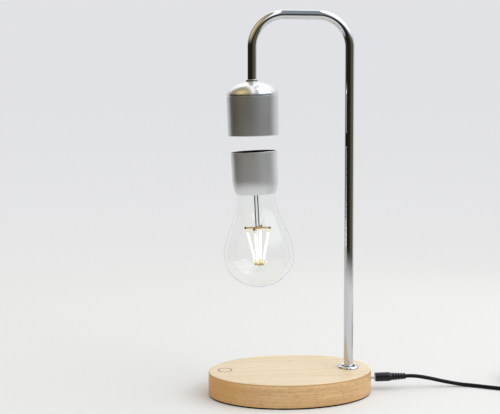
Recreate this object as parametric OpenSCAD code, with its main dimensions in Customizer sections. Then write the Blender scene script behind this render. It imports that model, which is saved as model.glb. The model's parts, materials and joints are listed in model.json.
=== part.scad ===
// Levitating bulb lamp: an oval wooden foot carries a bent tube, and a bulb floats under the
// electromagnet at the tube's end. Millimetres, +Z up, origin under the middle of the foot,
// +X towards the post and the socket.

/* [Base] */
// Length of the oval foot
base_w = 163.5; // [150:0.5:200]
// Depth of the oval foot
base_d = 110; // [96:0.5:140]
// Thickness of the wood
wood_h = 22.5; // [20:0.5:30]
// Rounding of the wood's top edge
edge_r = 1.4; // [0.5:0.1:3]
// Wood left above the hollow
skin_t = 6; // [5:0.5:8]
// Wood left round the hollow
wall_t = 12; // [11:0.5:14]
// Wood left round the bottom plate
lip_t = 5; // [4:0.5:7]
// Thickness of the bottom plate
plate_t = 2; // [1.5:0.25:3]
// Height of the rubber feet, the gap under the wood
foot_gap = 1.5; // [1:0.25:4]
// Diameter of a rubber foot
foot_d = 13; // [8:0.5:16]
// From the end of the base to the middle of a foot
foot_inset_x = 36; // [30:1:50]
// From the side of the base to the middle of a foot
foot_inset_y = 27; // [22:1:36]
// Head diameter of a plate screw
screw_head_d = 5.6; // [4:0.2:6]
// Shank diameter of a plate screw
screw_d = 2.8; // [2:0.2:3.2]
// Length of a plate screw
screw_l = 10; // [7:0.5:12]

/* [Touch switch] */
// From the end of the base to the middle of the touch ring
touch_inset = 16.75; // [14:0.25:30]
// Offset of the touch ring from the base's long axis
touch_y = 4; // [0:0.5:6]
// Outer diameter of the touch ring
touch_d = 14; // [10:0.5:16]
// Width of the touch ring's line
touch_line = 0.8; // [0.5:0.1:1.5]
// Depth of the touch ring in the wood
touch_inlay = 0.6; // [0.4:0.1:1]
// Wood left over the sensing disc
touch_skin = 3; // [2:0.25:4]
// Thickness of the sensing disc
pad_t = 0.8; // [0.5:0.1:1.5]

/* [Control board] */
// Length of the control board
board_l = 58; // [50:1:62]
// Width of the control board
board_w = 28; // [26:1:30]
// Thickness of every circuit board
board_t = 1.6; // [1:0.2:2]
// Height of the plate's bosses under the board
boss_h = 1.5; // [1:0.25:2]
// From the board's edges to its screws
board_screw_inset = 3.5; // [3:0.25:5]
// Diameter of the board screws
board_screw_d = 2.4; // [2:0.1:2.6]

/* [Arm] */
// Overall height of the lamp
lamp_h = 382; // [350:0.5:450]
// Outer diameter of the tube
tube_d = 9.5; // [8:0.25:11]
// Wall of the tube
tube_t = 1; // [0.8:0.1:1.5]
// Bend radius at the tube's axis
bend_r = 32; // [22:0.5:40]
// From the end of the base to the post's axis
post_inset = 22.25; // [21:0.25:30]
// From the post's axis to the drop's axis
arm_reach = 98; // [90:0.1:130]
// Straight tube between the bend and the head
drop_len = 34; // [25:0.5:60]
// Diameter of the flange on the wood
flange_d = 22; // [20:0.5:28]
// Height of the flange
flange_h = 2.4; // [1.5:0.1:4]
// Diameter of the flange's recess round the tube
flange_recess_d = 13; // [12:0.25:15]
// Diameter of the washer under the wood
washer_d = 16; // [14:0.5:16.5]
// Thickness of the washer
washer_t = 1.5; // [1:0.25:2]
// Width across flats of the tube's nuts
nut_af = 14; // [13:0.5:14.5]
// Height of the tube's nuts
nut_h = 4; // [3:0.25:4.5]
// Thread that stands out below the post's nut
thread_out = 2; // [1:0.25:2.5]
// Diameter of the cable inside the tube
cable_d = 3.6; // [2.5:0.1:4.5]

/* [Head] */
// Lean of the head on the drop, lower end towards the post
head_lean = 1.5; // [0:0.1:2]
// Diameter of the can under the dome
can_top_d = 51.2; // [48:0.2:60]
// Diameter of the can at its lower edge
can_bottom_d = 50; // [47:0.2:60]
// Height of the can
can_h = 39; // [38:0.5:50]
// Wall of the can and the dome
can_t = 1.2; // [0.8:0.1:1.6]
// Height of the dome
dome_h = 13.7; // [12.5:0.1:18]
// Diameter of the flat on top of the dome
dome_flat_d = 14; // [13:0.25:16]
// Groove between the dome and the can
seam_h = 0.5; // [0.3:0.1:1]
// Depth of the dome's spigot in the can
spigot_h = 2.5; // [1.5:0.25:3]
// Diameter of the collar
collar_d = 12.8; // [12:0.2:14]
// Height of the collar
collar_h = 1.8; // [1:0.1:3]
// Thread of the drop inside the dome
drop_in = 9; // [7:0.25:10]
// Thickness of the disc that closes the can
face_t = 2.5; // [1.5:0.25:3.5]
// Recess of that disc in the can
face_recess = 0.6; // [0.3:0.1:1.5]
// Diameter of the head's circuit board
head_board_d = 44; // [36:0.5:45]
// Diameter of the electromagnet's yoke
yoke_d = 40; // [34:0.5:42]
// Thickness of the electromagnet's yoke
yoke_t = 3; // [2:0.25:4]
// Diameter of the electromagnet's core
core_d = 10; // [8:0.5:14]
// Wall of the bobbin
bobbin_t = 1; // [0.8:0.1:1.5]
// Diameter of the bobbin's flanges
bobbin_d = 38; // [30:0.5:42]
// Outer diameter of the sending coil
power_coil_d = 40; // [30:0.5:44]
// Inner diameter of the sending coil
power_coil_hole = 18; // [12:0.5:22]
// Thickness of the sending coil
power_coil_t = 2; // [1.5:0.25:3]

/* [Bulb] */
// Gap between the can and the floating cap
float_gap = 15.5; // [14:0.5:25]
// Lean of the bulb, foot end towards the post
bulb_lean = 2.9; // [0:0.1:5]
// Diameter of the cap at its rim
cap_top_d = 46; // [45:0.2:52]
// Diameter of the cap above its shoulder
cap_low_d = 45.2; // [44.6:0.2:52]
// Height of the cap
cap_h = 41.8; // [40:0.2:50]
// Height of the cap's round shoulder
shoulder_h = 15; // [9:0.25:16]
// Diameter of the cap's mouth round the glass, outside
cap_mouth_d = 40.6; // [40.4:0.1:43]
// Wall of the cap
cap_t = 1; // [0.8:0.1:1.2]
// Recess of the black lid under the cap's rim
lid_recess = 0.9; // [0.4:0.1:1.5]
// Thickness of the black lid
lid_t = 2; // [1.5:0.25:3]
// Diameter of the floating magnet
magnet_d = 30; // [24:0.5:31]
// Thickness of the floating magnet
magnet_t = 8; // [6:0.25:9]
// Wall of the magnet's cup
holder_t = 1.4; // [1:0.1:1.6]
// Thickness of the receiving coil
receiver_t = 2; // [1.5:0.25:3]
// Height of the pegs between the magnet's cup and the bulb's board
peg_h = 2.5; // [1.5:0.25:3]
// Diameter of the bulb's board
bulb_board_d = 40; // [34:0.5:41]
// Largest diameter of the glass
glass_d = 70; // [60:0.5:80]
// Diameter of the glass neck
neck_d = 38.2; // [36:0.1:38.6]
// Wall of the glass
glass_t = 0.9; // [0.7:0.05:1.2]
// From the cap's rim to the top of the glass neck
neck_top = 21; // [20:0.25:24]
// From the cap's rim to the end of the straight neck
neck_end = 46; // [44:0.5:54]
// From the cap's rim to the glass's widest ring
belly_at = 102.9; // [96:0.1:115]
// From the cap's rim to the bottom of the glass
bulb_len = 134.6; // [128:0.1:150]

/* [Filaments] */
// Diameter of the stem above the spider
stem_d = 4; // [3:0.1:5]
// Diameter of the stem below the spider
stem_tip_d = 2.6; // [2:0.1:3]
// From the cap's rim to the spider
spider_at = 76; // [72:0.5:84]
// From the cap's rim to the hub
hub_at = 112.5; // [106:0.5:118]
// Length of the spider's arms
spider_r = 12.6; // [10:0.1:15]
// Length of the hub's arms
hub_r = 4.8; // [4:0.1:6]
// Diameter of the support wires
wire_d = 1.2; // [0.8:0.1:1.6]
// Diameter of the beads on the spider's arms
bead_d = 2.2; // [1.6:0.1:2.6]
// Turn of the spider about the bulb's axis
spider_turn = -23.5; // [-45:0.5:45]
// Diameter of a filament
filament_d = 1.8; // [1.2:0.1:2.2]
// Length of the metal pin at each end of a filament
terminal_l = 2; // [1.5:0.1:3]
// Diameter of that pin
terminal_d = 1; // [0.8:0.1:1.2]

/* [Plug and socket] */
// Diameter of the socket's housing
jack_d = 11; // [9:0.25:12]
// Length of the socket's housing
jack_l = 12.5; // [11.5:0.25:12.5]
// Recess of the socket in the wood
jack_recess = 0.75; // [0.5:0.05:1.5]
// Depth of the socket's hole
socket_depth = 10.5; // [9.5:0.25:10.5]
// Outer diameter of the plug's barrel
barrel_d = 3.5; // [3:0.1:5.5]
// Bore of the plug's barrel
barrel_bore = 2; // [1.8:0.1:2.4]
// Length of the plug's barrel
barrel_l = 11; // [9.5:0.25:12]
// Gap between the wood and the plug, plug pulled part way
plug_gap = 5.5; // [5:0.25:8]
// Diameter of the plug's body
plug_d = 9; // [7:0.25:10]
// Length of the plug's plain body
plug_l = 14; // [10:0.5:18]
// Length of the plug's ribbed strain relief
relief_l = 17.5; // [12:0.5:24]
// Diameter of the strain relief's ribs
relief_d = 6.2; // [5.6:0.1:7]
// Number of ribs on the strain relief
relief_ribs = 5; // [3:1:7]

/* [Cord and adapter] */
// Diameter of the cord
cord_d = 3.8; // [3:0.1:3.9]
// Radius of the coil's outer turns at the cord's middle
coil_r = 26; // [24:0.5:30]
// Step between the coil's turns and layers
coil_step = 4.5; // [4.4:0.05:5]
// Turns in each layer of the coil
layer_turns = 2; // [1:1:2]
// Layers of the coil
layers = 4; // [2:2:4]
// Width of the tie round the coil
tie_w = 9; // [6:0.5:12]
// Thickness of the tie
tie_t = 0.8; // [0.5:0.1:0.9]
// Length of the adapter
adapter_l = 46; // [40:1:75]
// Width of the adapter
adapter_w = 38; // [34:1:50]
// Height of the adapter
adapter_h = 28; // [24:1:36]
// Corner radius of the adapter
adapter_r = 5; // [3:0.5:8]
// Length of the adapter's strain relief
adapter_relief_l = 14; // [10:0.5:20]
// Length of the adapter's blades
blade_l = 16; // [15:0.5:20]

/* [Fits] */
// Radial gap between fixed pieces
fit = 0.15; // [0.1:0.05:0.3]
// Gap between pieces that move past each other
run = 0.35; // [0.3:0.05:0.5]

/* [Hidden] */
$fn = 96;
// Overshoot of a cut past a face
over = 1;

// Heights in the base
wood_top = foot_gap + wood_h;
hollow_top = wood_top - skin_t;
plate_top = foot_gap + plate_t;
board_z = plate_top + boss_h;
board_top = board_z + board_t;
touch_x = touch_inset - base_w / 2;
pad_top = wood_top - touch_skin;
pad_d = touch_d;
pad_room = 1;
lead_d = 1.2;
lead_z = hollow_top - lead_d;

// Sockets and the board's place in the base
jack_z = foot_gap + wood_h / 2;
jack_face = base_w / 2 - jack_recess;
jack_back = jack_face - jack_l;
jack_hole_x = min(jack_back, base_w / 2 - wall_t) - over;
jack_pin_d = barrel_bore - 2 * run;
socket_back = jack_face - socket_depth;
jack_pin_inset = 1.5;
jack_room = 3;
board_x1 = jack_back - jack_room;
board_x0 = board_x1 - board_l;
board_mid = (board_x0 + board_x1) / 2;
jack_lead_y = 4.2;
jack_lead_x = board_x1 - lead_d;
jack_lead_z = jack_z - jack_d / 4;
boss_wall = 1.6;
boss_d = board_screw_d + 2 * boss_wall;
board_head_lip = 1;
board_head_h = 1.6;
// Parts on the boards: X and Y of a corner from the middle of their place, length, width, height
cable_block = [-3.5, -3, 7, 6, 3];
touch_chip = [-14, -9, 9, 9, 1.4];
supply_chip = [4, -8, 6, 5, 2.6];
driver_chip = [8, -5, 7, 10, 1.5];
drive_plug = [-14, -4, 5, 8, 2];
// The supply's capacitor: X and Y from the middle of the board, diameter, height
capacitor = [2, 6, 6.3, 7];

// Places of the plate's screws, half way across the ledge that carries the plate
ledge_a = base_w / 2 - (lip_t + wall_t) / 2;
ledge_b = base_d / 2 - (lip_t + wall_t) / 2;
screw_angles = [32, 148, 212, 328];
csk_h = (screw_head_d - screw_d) / 2;

// The tube's line, kept to hundredths so that its lengths meet: post, arch and drop
function snap(x) = round(x * 100) / 100;
post_x = snap(base_w / 2 - post_inset);
arch_z = snap(lamp_h - tube_d / 2);
bend_z = snap(arch_z - bend_r);
drop_x = snap(post_x - arm_reach);
bend_x = snap(drop_x + bend_r);
dome_z = snap(bend_z - drop_len);
post_end = snap(hollow_top - washer_t - nut_h - thread_out);

// Heights in the head, counted down from the top of the dome
can_at = dome_h + seam_h;
head_h = can_at + can_h;
face_at = head_h - face_recess - face_t;
power_coil_at = face_at - power_coil_t;
head_board_at = can_at + spigot_h + fit;
spacer_h = 2;
spacer_d = 4;
yoke_at = head_board_at + board_t + spacer_h;
bobbin_at = yoke_at + yoke_t;
bobbin_h = power_coil_at - bobbin_at;
core_h = bobbin_h + power_coil_t / 2;
winding_inset = 1;
sensor_l = 4;
sensor_w = 3;
can_slope = (can_top_d - can_bottom_d) / 2 / can_h;
can_bore_top = can_top_d - 2 * can_t;
dome_rise = dome_h / sqrt(1 - pow(dome_flat_d / can_top_d, 2));
dome_bore_r = can_top_d / 2 - 2 * can_t - fit;
face_d = can_bottom_d - 2 * can_t - 2 * fit;

// The float point: middle of the cap's rim, on the head's axis
float_x = drop_x + (head_h + float_gap) * sin(head_lean);
float_z = dome_z - (head_h + float_gap) * cos(head_lean);

// Heights in the bulb, counted down from the cap's rim
lid_end = lid_recess + lid_t;
lid_d = cap_low_d - 2 * cap_t - 2 * fit;
magnet_at = lid_end + run;
cup_floor_at = magnet_at + magnet_t + run;
cup_d = magnet_d + 2 * run + 2 * holder_t;
peg_end = cup_floor_at + holder_t + peg_h;
peg_d = 3;
shoulder_at = cap_h - shoulder_h;
shoulder_steps = 12;
shoulder_top_power = 1.9;
shoulder_mouth_power = 0.86;
cement_inset = 1;
cement_at = neck_top + cement_inset;
cement_h = shoulder_at - cement_at;
flare_l = 14;
flare_end = neck_top + flare_l;
flare_t = 2;
filament_top = spider_at + wire_d / 2 + fit;
filament_end = hub_at - wire_d / 2 - fit;
filament_top_r = spider_r - bead_d / 2;
filament_end_r = hub_r - wire_d / 2;

// Plug, cord and adapter
plug_x = base_w / 2 + plug_gap;
plug_bevel = 0.6;
plug_taper = 3;
plug_end = plug_x + plug_l + relief_l;
relief_core_d = cord_d + 1;
barrel_end_t = 1.5;
lay = cord_d / 2;
tie_gap = 0.3;
coil_z = lay + tie_t + tie_gap;
cord_reach = 140;
// The cord's way from the plug to the coil: X from the end of the plug, Y, Z
cord_points = [
    [0, 0, jack_z], [5, 0, jack_z], [12, 0, 12.2], [20, 0, 10.8], [28, 0, 9], [36, 0, 7],
    [44, 0, 5.2], [52, -0.5, 3.6], [60, -1.5, 2.4], [67, -3.5, 2], [74, -7, lay],
    [81, -11, lay], [88, -15, lay], [95, -18.5, lay], [103, -21.5, lay], [111, -24, lay],
    [119, -25.5, coil_z - 0.4], [126, -coil_r, coil_z], [133, -coil_r, coil_z],
    [cord_reach, -coil_r, coil_z]
];
coil_x = plug_end + cord_reach + cord_d;
coil_turns = layers * layer_turns;
coil_inner_r = coil_r - layer_turns * coil_step;
coil_top_z = coil_z + (layers - 1) * coil_step;
loop_rings = 24;
adapter_gap = 6;
adapter_x = coil_x + coil_r + adapter_gap + adapter_relief_l;
adapter_y = -coil_r;
relief_wall = 1;
relief_flare = 2;
blade_w = 6.3;
blade_t = 1.5;
blade_apart = 12.7;

// A smooth step from 0 to 1
function ease(t) = let (c = max(0, min(1, t))) c * c * (3 - 2 * c);
// Outline of the glass, drawn in by an inset for the inner wall: a straight neck, a slope that
// swells to the belly, and a round bottom
glass_steps = 18;
function glass_outline(inset) = concat(
    [[0, -neck_top], [neck_d / 2 - inset, -neck_top]],
    [for (i = [0:glass_steps - 1])
        let (t = i / glass_steps)
        [(neck_d + (glass_d - neck_d) * ease(t)) / 2 - inset, -neck_end - (belly_at - neck_end) * t]],
    [for (i = [0:glass_steps - 1])
        let (a = 90 * i / glass_steps)
        [(glass_d / 2 - inset) * cos(a), -belly_at - (bulb_len - belly_at - inset) * sin(a)]],
    [[0, inset - bulb_len]]
);

// The coil's line: spirals in and out, and climbs a layer where the spiral turns back
function coil_radius(t) =
    let (p = t % (2 * layer_turns))
    coil_r - coil_step * (p <= layer_turns ? p : 2 * layer_turns - p);
function coil_height(t) =
    coil_z + coil_step * (layers < 2 ? 0
        : [for (k = [1:layers - 1]) ease((t - k * layer_turns + 0.25) / 0.5)]
            * [for (k = [1:layers - 1]) 1]);
function coil_point(t) = [
    coil_x + coil_radius(t) * sin(360 * t),
    -coil_radius(t) * cos(360 * t),
    coil_height(t)
];
coil_rings = [for (i = [0:coil_turns * loop_rings]) coil_point(i / loop_rings)];
coil_line = concat(
    [[coil_x - cord_d, -coil_r, coil_z]],
    coil_rings,
    [
        [coil_x + 2 * cord_d, -coil_r, coil_top_z],
        [adapter_x - adapter_relief_l, -coil_r, coil_top_z]
    ]
);
coil_least_gap = min([for (i = [0:len(coil_rings) - 1])
    for (j = [i + loop_rings / 2:1:len(coil_rings) - 1]) norm(coil_rings[i] - coil_rings[j])]) - cord_d;
echo(coil_least_gap = coil_least_gap);

// A straight length of tube or rod between two heights
module rod(d, z0, z1) {
    translate([0, 0, z0]) cylinder(d = d, h = z1 - z0);
}

// A flat ring
module ring(d, hole, h) {
    difference() {
        cylinder(d = d, h = h);
        translate([0, 0, -over]) cylinder(d = hole, h = h + 2 * over);
    }
}

// An oval block that stands on z = 0
module oval(w, d, h) {
    scale([1, d / w, 1]) cylinder(d = w, h = h);
}

// A solid swept along points with a many-sided section; the path never runs straight up
module swept_tube(points, d, sides) {
    n = len(points);
    rings = [for (i = [0:n - 1])
        let (
            t = points[min(i + 1, n - 1)] - points[max(i - 1, 0)],
            side = cross([0, 0, 1], t) / norm(cross([0, 0, 1], t)),
            up = cross(t, side) / norm(cross(t, side))
        )
        for (k = [0:sides - 1])
            points[i] + d / 2 * (cos(360 * k / sides) * side + sin(360 * k / sides) * up)];
    walls = [for (i = [0:n - 2])
        for (k = [0:sides - 1])
            let (
                a = i * sides + k,
                b = i * sides + (k + 1) % sides
            )
            for (face = [[a, b, b + sides], [a, b + sides, a + sides]]) face];
    caps = [for (k = [1:sides - 2])
        for (face = [[0, k + 1, k], [(n - 1) * sides, (n - 1) * sides + k, (n - 1) * sides + k + 1]]) face];
    polyhedron(points = rings, faces = [for (f = concat(walls, caps)) [f[0], f[2], f[1]]]);
}

// Places: the head leans on the drop's end, and the bulb floats below it
module in_head(down) {
    translate([drop_x, 0, dome_z]) rotate([0, -head_lean, 0]) translate([0, 0, -down]) children();
}
module in_bulb(down) {
    translate([float_x, 0, float_z]) rotate([0, -bulb_lean, 0]) translate([0, 0, -down]) children();
}
module along_x(x, z) {
    translate([x, 0, z]) rotate([0, 90, 0]) children();
}

// The line of the bent tube, filled with a given diameter
module arm_line(d, foot_z, end_z) {
    translate([post_x, 0, 0]) rod(d, foot_z, bend_z);
    translate([post_x - bend_r, 0, bend_z]) rotate([90, 0, 0])
        rotate_extrude(angle = 90) translate([bend_r, 0]) circle(d = d);
    along_x(bend_x, arch_z) cylinder(d = d, h = post_x - bend_r - bend_x);
    translate([bend_x, 0, bend_z]) rotate([90, 0, 0]) rotate([0, 0, 90])
        rotate_extrude(angle = 90) translate([bend_r, 0]) circle(d = d);
    translate([drop_x, 0, 0]) rod(d, end_z, bend_z);
}

// Base
module wood_block() {
    scale([1, base_d / base_w, 1]) rotate_extrude() {
        translate([0, foot_gap]) square([base_w / 2, wood_h - edge_r]);
        translate([0, foot_gap]) square([base_w / 2 - edge_r, wood_h]);
        translate([base_w / 2 - edge_r, wood_top - edge_r]) circle(r = edge_r);
    }
}

module screw_places() {
    for (a = screw_angles) translate([ledge_a * cos(a), ledge_b * sin(a), 0]) children();
}

module wood_base() {
    color("burlywood") difference() {
        wood_block();
        translate([0, 0, foot_gap - over])
            oval(base_w - 2 * wall_t, base_d - 2 * wall_t, hollow_top - foot_gap + over);
        translate([0, 0, foot_gap - over]) oval(base_w - 2 * lip_t, base_d - 2 * lip_t, plate_t + over);
        translate([touch_x, touch_y, 0]) rod(pad_d + 2 * pad_room, plate_top - over, pad_top);
        translate([touch_x, touch_y, wood_top - touch_inlay])
            ring(touch_d + 2 * fit, touch_d - 2 * touch_line - 2 * fit, touch_inlay + over);
        translate([post_x, 0, 0]) rod(tube_d + 2 * fit, hollow_top - over, wood_top + over);
        along_x(jack_hole_x, jack_z) cylinder(d = jack_d + 2 * fit, h = base_w / 2 + over - jack_hole_x);
        screw_places() rod(screw_d + 2 * fit, plate_top - over, foot_gap + screw_l + over);
    }
}

module touch_ring() {
    color("saddlebrown") translate([touch_x, touch_y, wood_top - touch_inlay])
        ring(touch_d, touch_d - 2 * touch_line, touch_inlay);
}

module touch_pad() {
    color("goldenrod") translate([touch_x, touch_y, 0]) rod(pad_d, pad_top - pad_t, pad_top);
}

module touch_lead() {
    color("firebrick") translate([0, touch_y, 0]) {
        translate([touch_x, 0, 0]) rod(lead_d, lead_z, pad_top - pad_t);
        translate([touch_x, 0, lead_z]) sphere(d = lead_d);
        along_x(touch_x, lead_z) cylinder(d = lead_d, h = board_x0 + boss_d - touch_x);
        translate([board_x0 + boss_d, 0, lead_z]) sphere(d = lead_d);
        translate([board_x0 + boss_d, 0, 0]) rod(lead_d, board_top, lead_z);
    }
}

module board_corners() {
    for (x = [board_x0 + board_screw_inset, board_x1 - board_screw_inset])
        for (y = [-1, 1])
            translate([x, y * (board_w / 2 - board_screw_inset), 0]) children();
}

module bottom_plate() {
    color("dimgray") difference() {
        union() {
            translate([0, 0, foot_gap])
                oval(base_w - 2 * lip_t - 2 * fit, base_d - 2 * lip_t - 2 * fit, plate_t);
            board_corners() rod(boss_d, foot_gap, board_z);
        }
        board_corners() rod(board_screw_d + 2 * fit, plate_top - plate_t / 2, board_z + over);
        screw_places() {
            rod(screw_d + 2 * fit, foot_gap - over, plate_top + over);
            translate([0, 0, foot_gap])
                cylinder(d1 = screw_head_d + 2 * fit, d2 = screw_d + 2 * fit, h = csk_h);
        }
    }
}

module plate_screws() {
    color("silver") screw_places() {
        rod(screw_d, foot_gap + csk_h, foot_gap + screw_l);
        translate([0, 0, foot_gap]) cylinder(d1 = screw_head_d, d2 = screw_d, h = csk_h);
    }
}

module rubber_foot(i) {
    color("black") translate([
        (i % 2 == 0 ? 1 : -1) * (base_w / 2 - foot_inset_x),
        (i > 2 ? 1 : -1) * (base_d / 2 - foot_inset_y),
        0
    ]) cylinder(d = foot_d, h = foot_gap);
}

// A part soldered on a board, sunk a little into it
module board_part(p) {
    translate([p[0], p[1], -fit]) cube([p[2], p[3], p[4] + fit]);
}

module control_board() {
    color("darkgreen") difference() {
        union() {
            translate([board_x0, -board_w / 2, board_z]) cube([board_l, board_w, board_t]);
            translate([post_x, 0, board_top]) board_part(cable_block);
            translate([board_mid, 0, board_top]) board_part(touch_chip);
            translate([board_mid, 0, board_top]) board_part(supply_chip);
            translate([board_mid + capacitor[0], capacitor[1], board_top])
                rod(capacitor[2], -fit, capacitor[3]);
        }
        board_corners() rod(board_screw_d + 2 * fit, board_z - over, board_top + over);
    }
}

module board_screws() {
    color("silver") board_corners() {
        rod(board_screw_d, plate_top - plate_t / 2 + fit, board_top);
        rod(board_screw_d + 2 * board_head_lip, board_top, board_top + board_head_h);
    }
}

module dc_jack() {
    color("black") {
        difference() {
            along_x(jack_back, jack_z) cylinder(d = jack_d, h = jack_l);
            along_x(socket_back, jack_z) cylinder(d = barrel_d + 2 * run, h = socket_depth + over);
        }
        along_x(socket_back - over, jack_z)
            cylinder(d = jack_pin_d, h = socket_depth - jack_pin_inset + over);
    }
}

module jack_leads() {
    color("firebrick") for (side = [-1, 1]) translate([0, side * jack_lead_y, 0]) {
        along_x(jack_lead_x, jack_lead_z) cylinder(d = lead_d, h = jack_back - jack_lead_x);
        translate([jack_lead_x, 0, jack_lead_z]) sphere(d = lead_d);
        translate([jack_lead_x, 0, 0]) rod(lead_d, board_top, jack_lead_z);
    }
}

// Arm
module post_flange() {
    lip_r = (flange_d - flange_recess_d) / 4;
    color("gainsboro") translate([post_x, 0, wood_top]) rotate_extrude() {
        translate([tube_d / 2 + fit, 0]) square([flange_d / 2 - lip_r - tube_d / 2 - fit, flange_h / 2]);
        intersection() {
            translate([flange_recess_d / 2 + lip_r, 0]) scale([lip_r, flange_h]) circle(r = 1);
            square([flange_d, flange_h + over]);
        }
    }
}

module post_washer() {
    color("silver") translate([post_x, 0, hollow_top - washer_t])
        ring(washer_d, tube_d + 2 * fit, washer_t);
}

module hex_nut() {
    difference() {
        cylinder(d = nut_af / cos(30), h = nut_h, $fn = 6);
        translate([0, 0, -over]) cylinder(d = tube_d + 2 * fit, h = nut_h + 2 * over);
    }
}

module post_nut() {
    color("silver") translate([post_x, 0, hollow_top - washer_t - nut_h]) hex_nut();
}

module arm_tube() {
    color("lightgray") difference() {
        arm_line(tube_d, post_end, dome_z - drop_in);
        arm_line(tube_d - 2 * tube_t, post_end - over, dome_z - drop_in - over);
    }
}

module head_cable() {
    color("black") arm_line(cable_d, board_top + cable_block[4], dome_z - head_board_at + fit);
}

// Head
module head_collar() {
    color("gainsboro") in_head(0) ring(collar_d, tube_d + 2 * fit, collar_h);
}

// Half of an oval profile from the axis out, cut flat on top
module dome_profile(r, h, flat_h) {
    intersection() {
        scale([r, h]) circle(r = 1);
        square([r + over, flat_h]);
    }
}

module head_dome() {
    color("gainsboro") in_head(dome_h) rotate_extrude() difference() {
        union() {
            dome_profile(can_top_d / 2, dome_rise, dome_h);
            translate([0, -seam_h - spigot_h]) square([can_bore_top / 2 - fit, spigot_h + seam_h]);
        }
        dome_profile(dome_bore_r, dome_rise - can_t, dome_h - can_t);
        translate([0, -seam_h - spigot_h - over]) square([dome_bore_r, spigot_h + seam_h + over]);
        square([tube_d / 2 + fit, dome_h + over]);
    }
}

module head_nut() {
    corner_r = nut_af / cos(30) / 2;
    tilt_room = corner_r * sin(head_lean);
    bore_at_corner = (dome_rise - can_t) * sqrt(1 - pow(corner_r / dome_bore_r, 2));
    crown_room = max(0, dome_h - can_t - bore_at_corner);
    color("silver") translate([drop_x, 0, dome_z - can_t - crown_room - tilt_room - nut_h]) hex_nut();
}

module head_shell() {
    color("darkgray") in_head(head_h) difference() {
        cylinder(d1 = can_bottom_d, d2 = can_top_d, h = can_h);
        translate([0, 0, -over]) cylinder(
            d1 = can_bottom_d - 2 * can_t - 2 * over * can_slope,
            d2 = can_top_d - 2 * can_t + 2 * over * can_slope,
            h = can_h + 2 * over
        );
    }
}

module head_board() {
    color("darkgreen") in_head(head_board_at + board_t) {
        cylinder(d = head_board_d, h = board_t);
        translate([0, 0, board_t]) board_part(driver_chip);
        translate([0, 0, board_t]) board_part(drive_plug);
    }
}

module board_spacers() {
    color("white") in_head(yoke_at) for (a = [0, 120, 240])
        rotate([0, 0, a]) translate([yoke_d / 2 - spacer_d, 0, 0]) cylinder(d = spacer_d, h = spacer_h);
}

module magnet_yoke() {
    color("slategray") in_head(bobbin_at) cylinder(d = yoke_d, h = yoke_t);
}

module magnet_core() {
    color("slategray") in_head(bobbin_at + core_h) cylinder(d = core_d, h = core_h);
}

module coil_bobbin() {
    color("black") in_head(bobbin_at + bobbin_h) difference() {
        union() {
            cylinder(d = core_d + 2 * fit + 2 * bobbin_t, h = bobbin_h);
            cylinder(d = bobbin_d, h = bobbin_t);
            translate([0, 0, bobbin_h - bobbin_t]) cylinder(d = bobbin_d, h = bobbin_t);
        }
        translate([0, 0, -over]) cylinder(d = core_d + 2 * fit, h = bobbin_h + 2 * over);
    }
}

module magnet_winding() {
    color("peru") in_head(bobbin_at + bobbin_h - bobbin_t)
        ring(bobbin_d - 2 * winding_inset, core_d + 4 * fit + 2 * bobbin_t, bobbin_h - 2 * bobbin_t);
}

module hall_sensor() {
    color("black") in_head(face_at) translate([-sensor_l / 2, -sensor_w / 2, 0])
        cube([sensor_l, sensor_w, power_coil_t / 2]);
}

module power_coil() {
    color("peru") in_head(face_at) ring(power_coil_d, power_coil_hole, power_coil_t);
}

module head_face() {
    color("black") in_head(face_at + face_t) cylinder(d = face_d, h = face_t);
}

// Floating bulb
module float_magnet() {
    color("silver") in_bulb(magnet_at + magnet_t) cylinder(d = magnet_d, h = magnet_t);
}

// How much of its width over the mouth the cap's shoulder still has, from its start at 0 to the mouth at 1
function shoulder_curve(t) = pow(1 - pow(t, shoulder_top_power), shoulder_mouth_power);

// Outline of the cap from its axis out, drawn in by an inset for the inner wall
module cap_profile(inset) {
    drop = (cap_low_d - cap_mouth_d) / 2;
    polygon(concat(
        [[0, inset > 0 ? over : 0], [cap_top_d / 2 - inset, inset > 0 ? over : 0]],
        [[cap_top_d / 2 - inset, 0]],
        [for (i = [0:shoulder_steps])
            let (t = i / shoulder_steps)
            [cap_low_d / 2 - inset - drop * (1 - shoulder_curve(t)), -shoulder_at - shoulder_h * t]],
        inset > 0 ? [[cap_mouth_d / 2 - inset, -cap_h - over], [0, -cap_h - over]] : [[0, -cap_h]]
    ));
}

module bulb_cap() {
    color("darkgray") in_bulb(0) rotate_extrude() difference() {
        cap_profile(0);
        cap_profile(cap_t);
    }
}

module cap_lid() {
    color("black") in_bulb(lid_end) cylinder(d = lid_d, h = lid_t);
}

module magnet_cup() {
    color("black") in_bulb(peg_end) {
        translate([0, 0, peg_h]) difference() {
            cylinder(d = cup_d, h = cup_floor_at + holder_t - lid_end);
            translate([0, 0, holder_t]) cylinder(d = magnet_d + 2 * run, h = cup_floor_at);
        }
        for (a = [0, 120, 240])
            rotate([0, 0, a]) translate([cup_d / 2 - 2 * peg_d, 0, 0])
                cylinder(d = peg_d, h = peg_h + holder_t / 2);
    }
}

module receiver_coil() {
    color("peru") in_bulb(lid_end + receiver_t) ring(lid_d, cup_d + 2 * fit, receiver_t);
}

module bulb_board() {
    color("darkgreen") in_bulb(peg_end + board_t) cylinder(d = bulb_board_d, h = board_t);
}

module neck_cement() {
    color("beige") in_bulb(cement_at + cement_h)
        ring(cap_low_d - 2 * cap_t - 2 * fit, neck_d + 2 * fit, cement_h);
}

module glass_envelope() {
    color("lightcyan", 0.35) in_bulb(0) rotate_extrude() difference() {
        polygon(glass_outline(0));
        polygon(glass_outline(glass_t));
        translate([0, -neck_top - over]) square([neck_d / 2 - glass_t, 2 * over]);
    }
}

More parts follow.
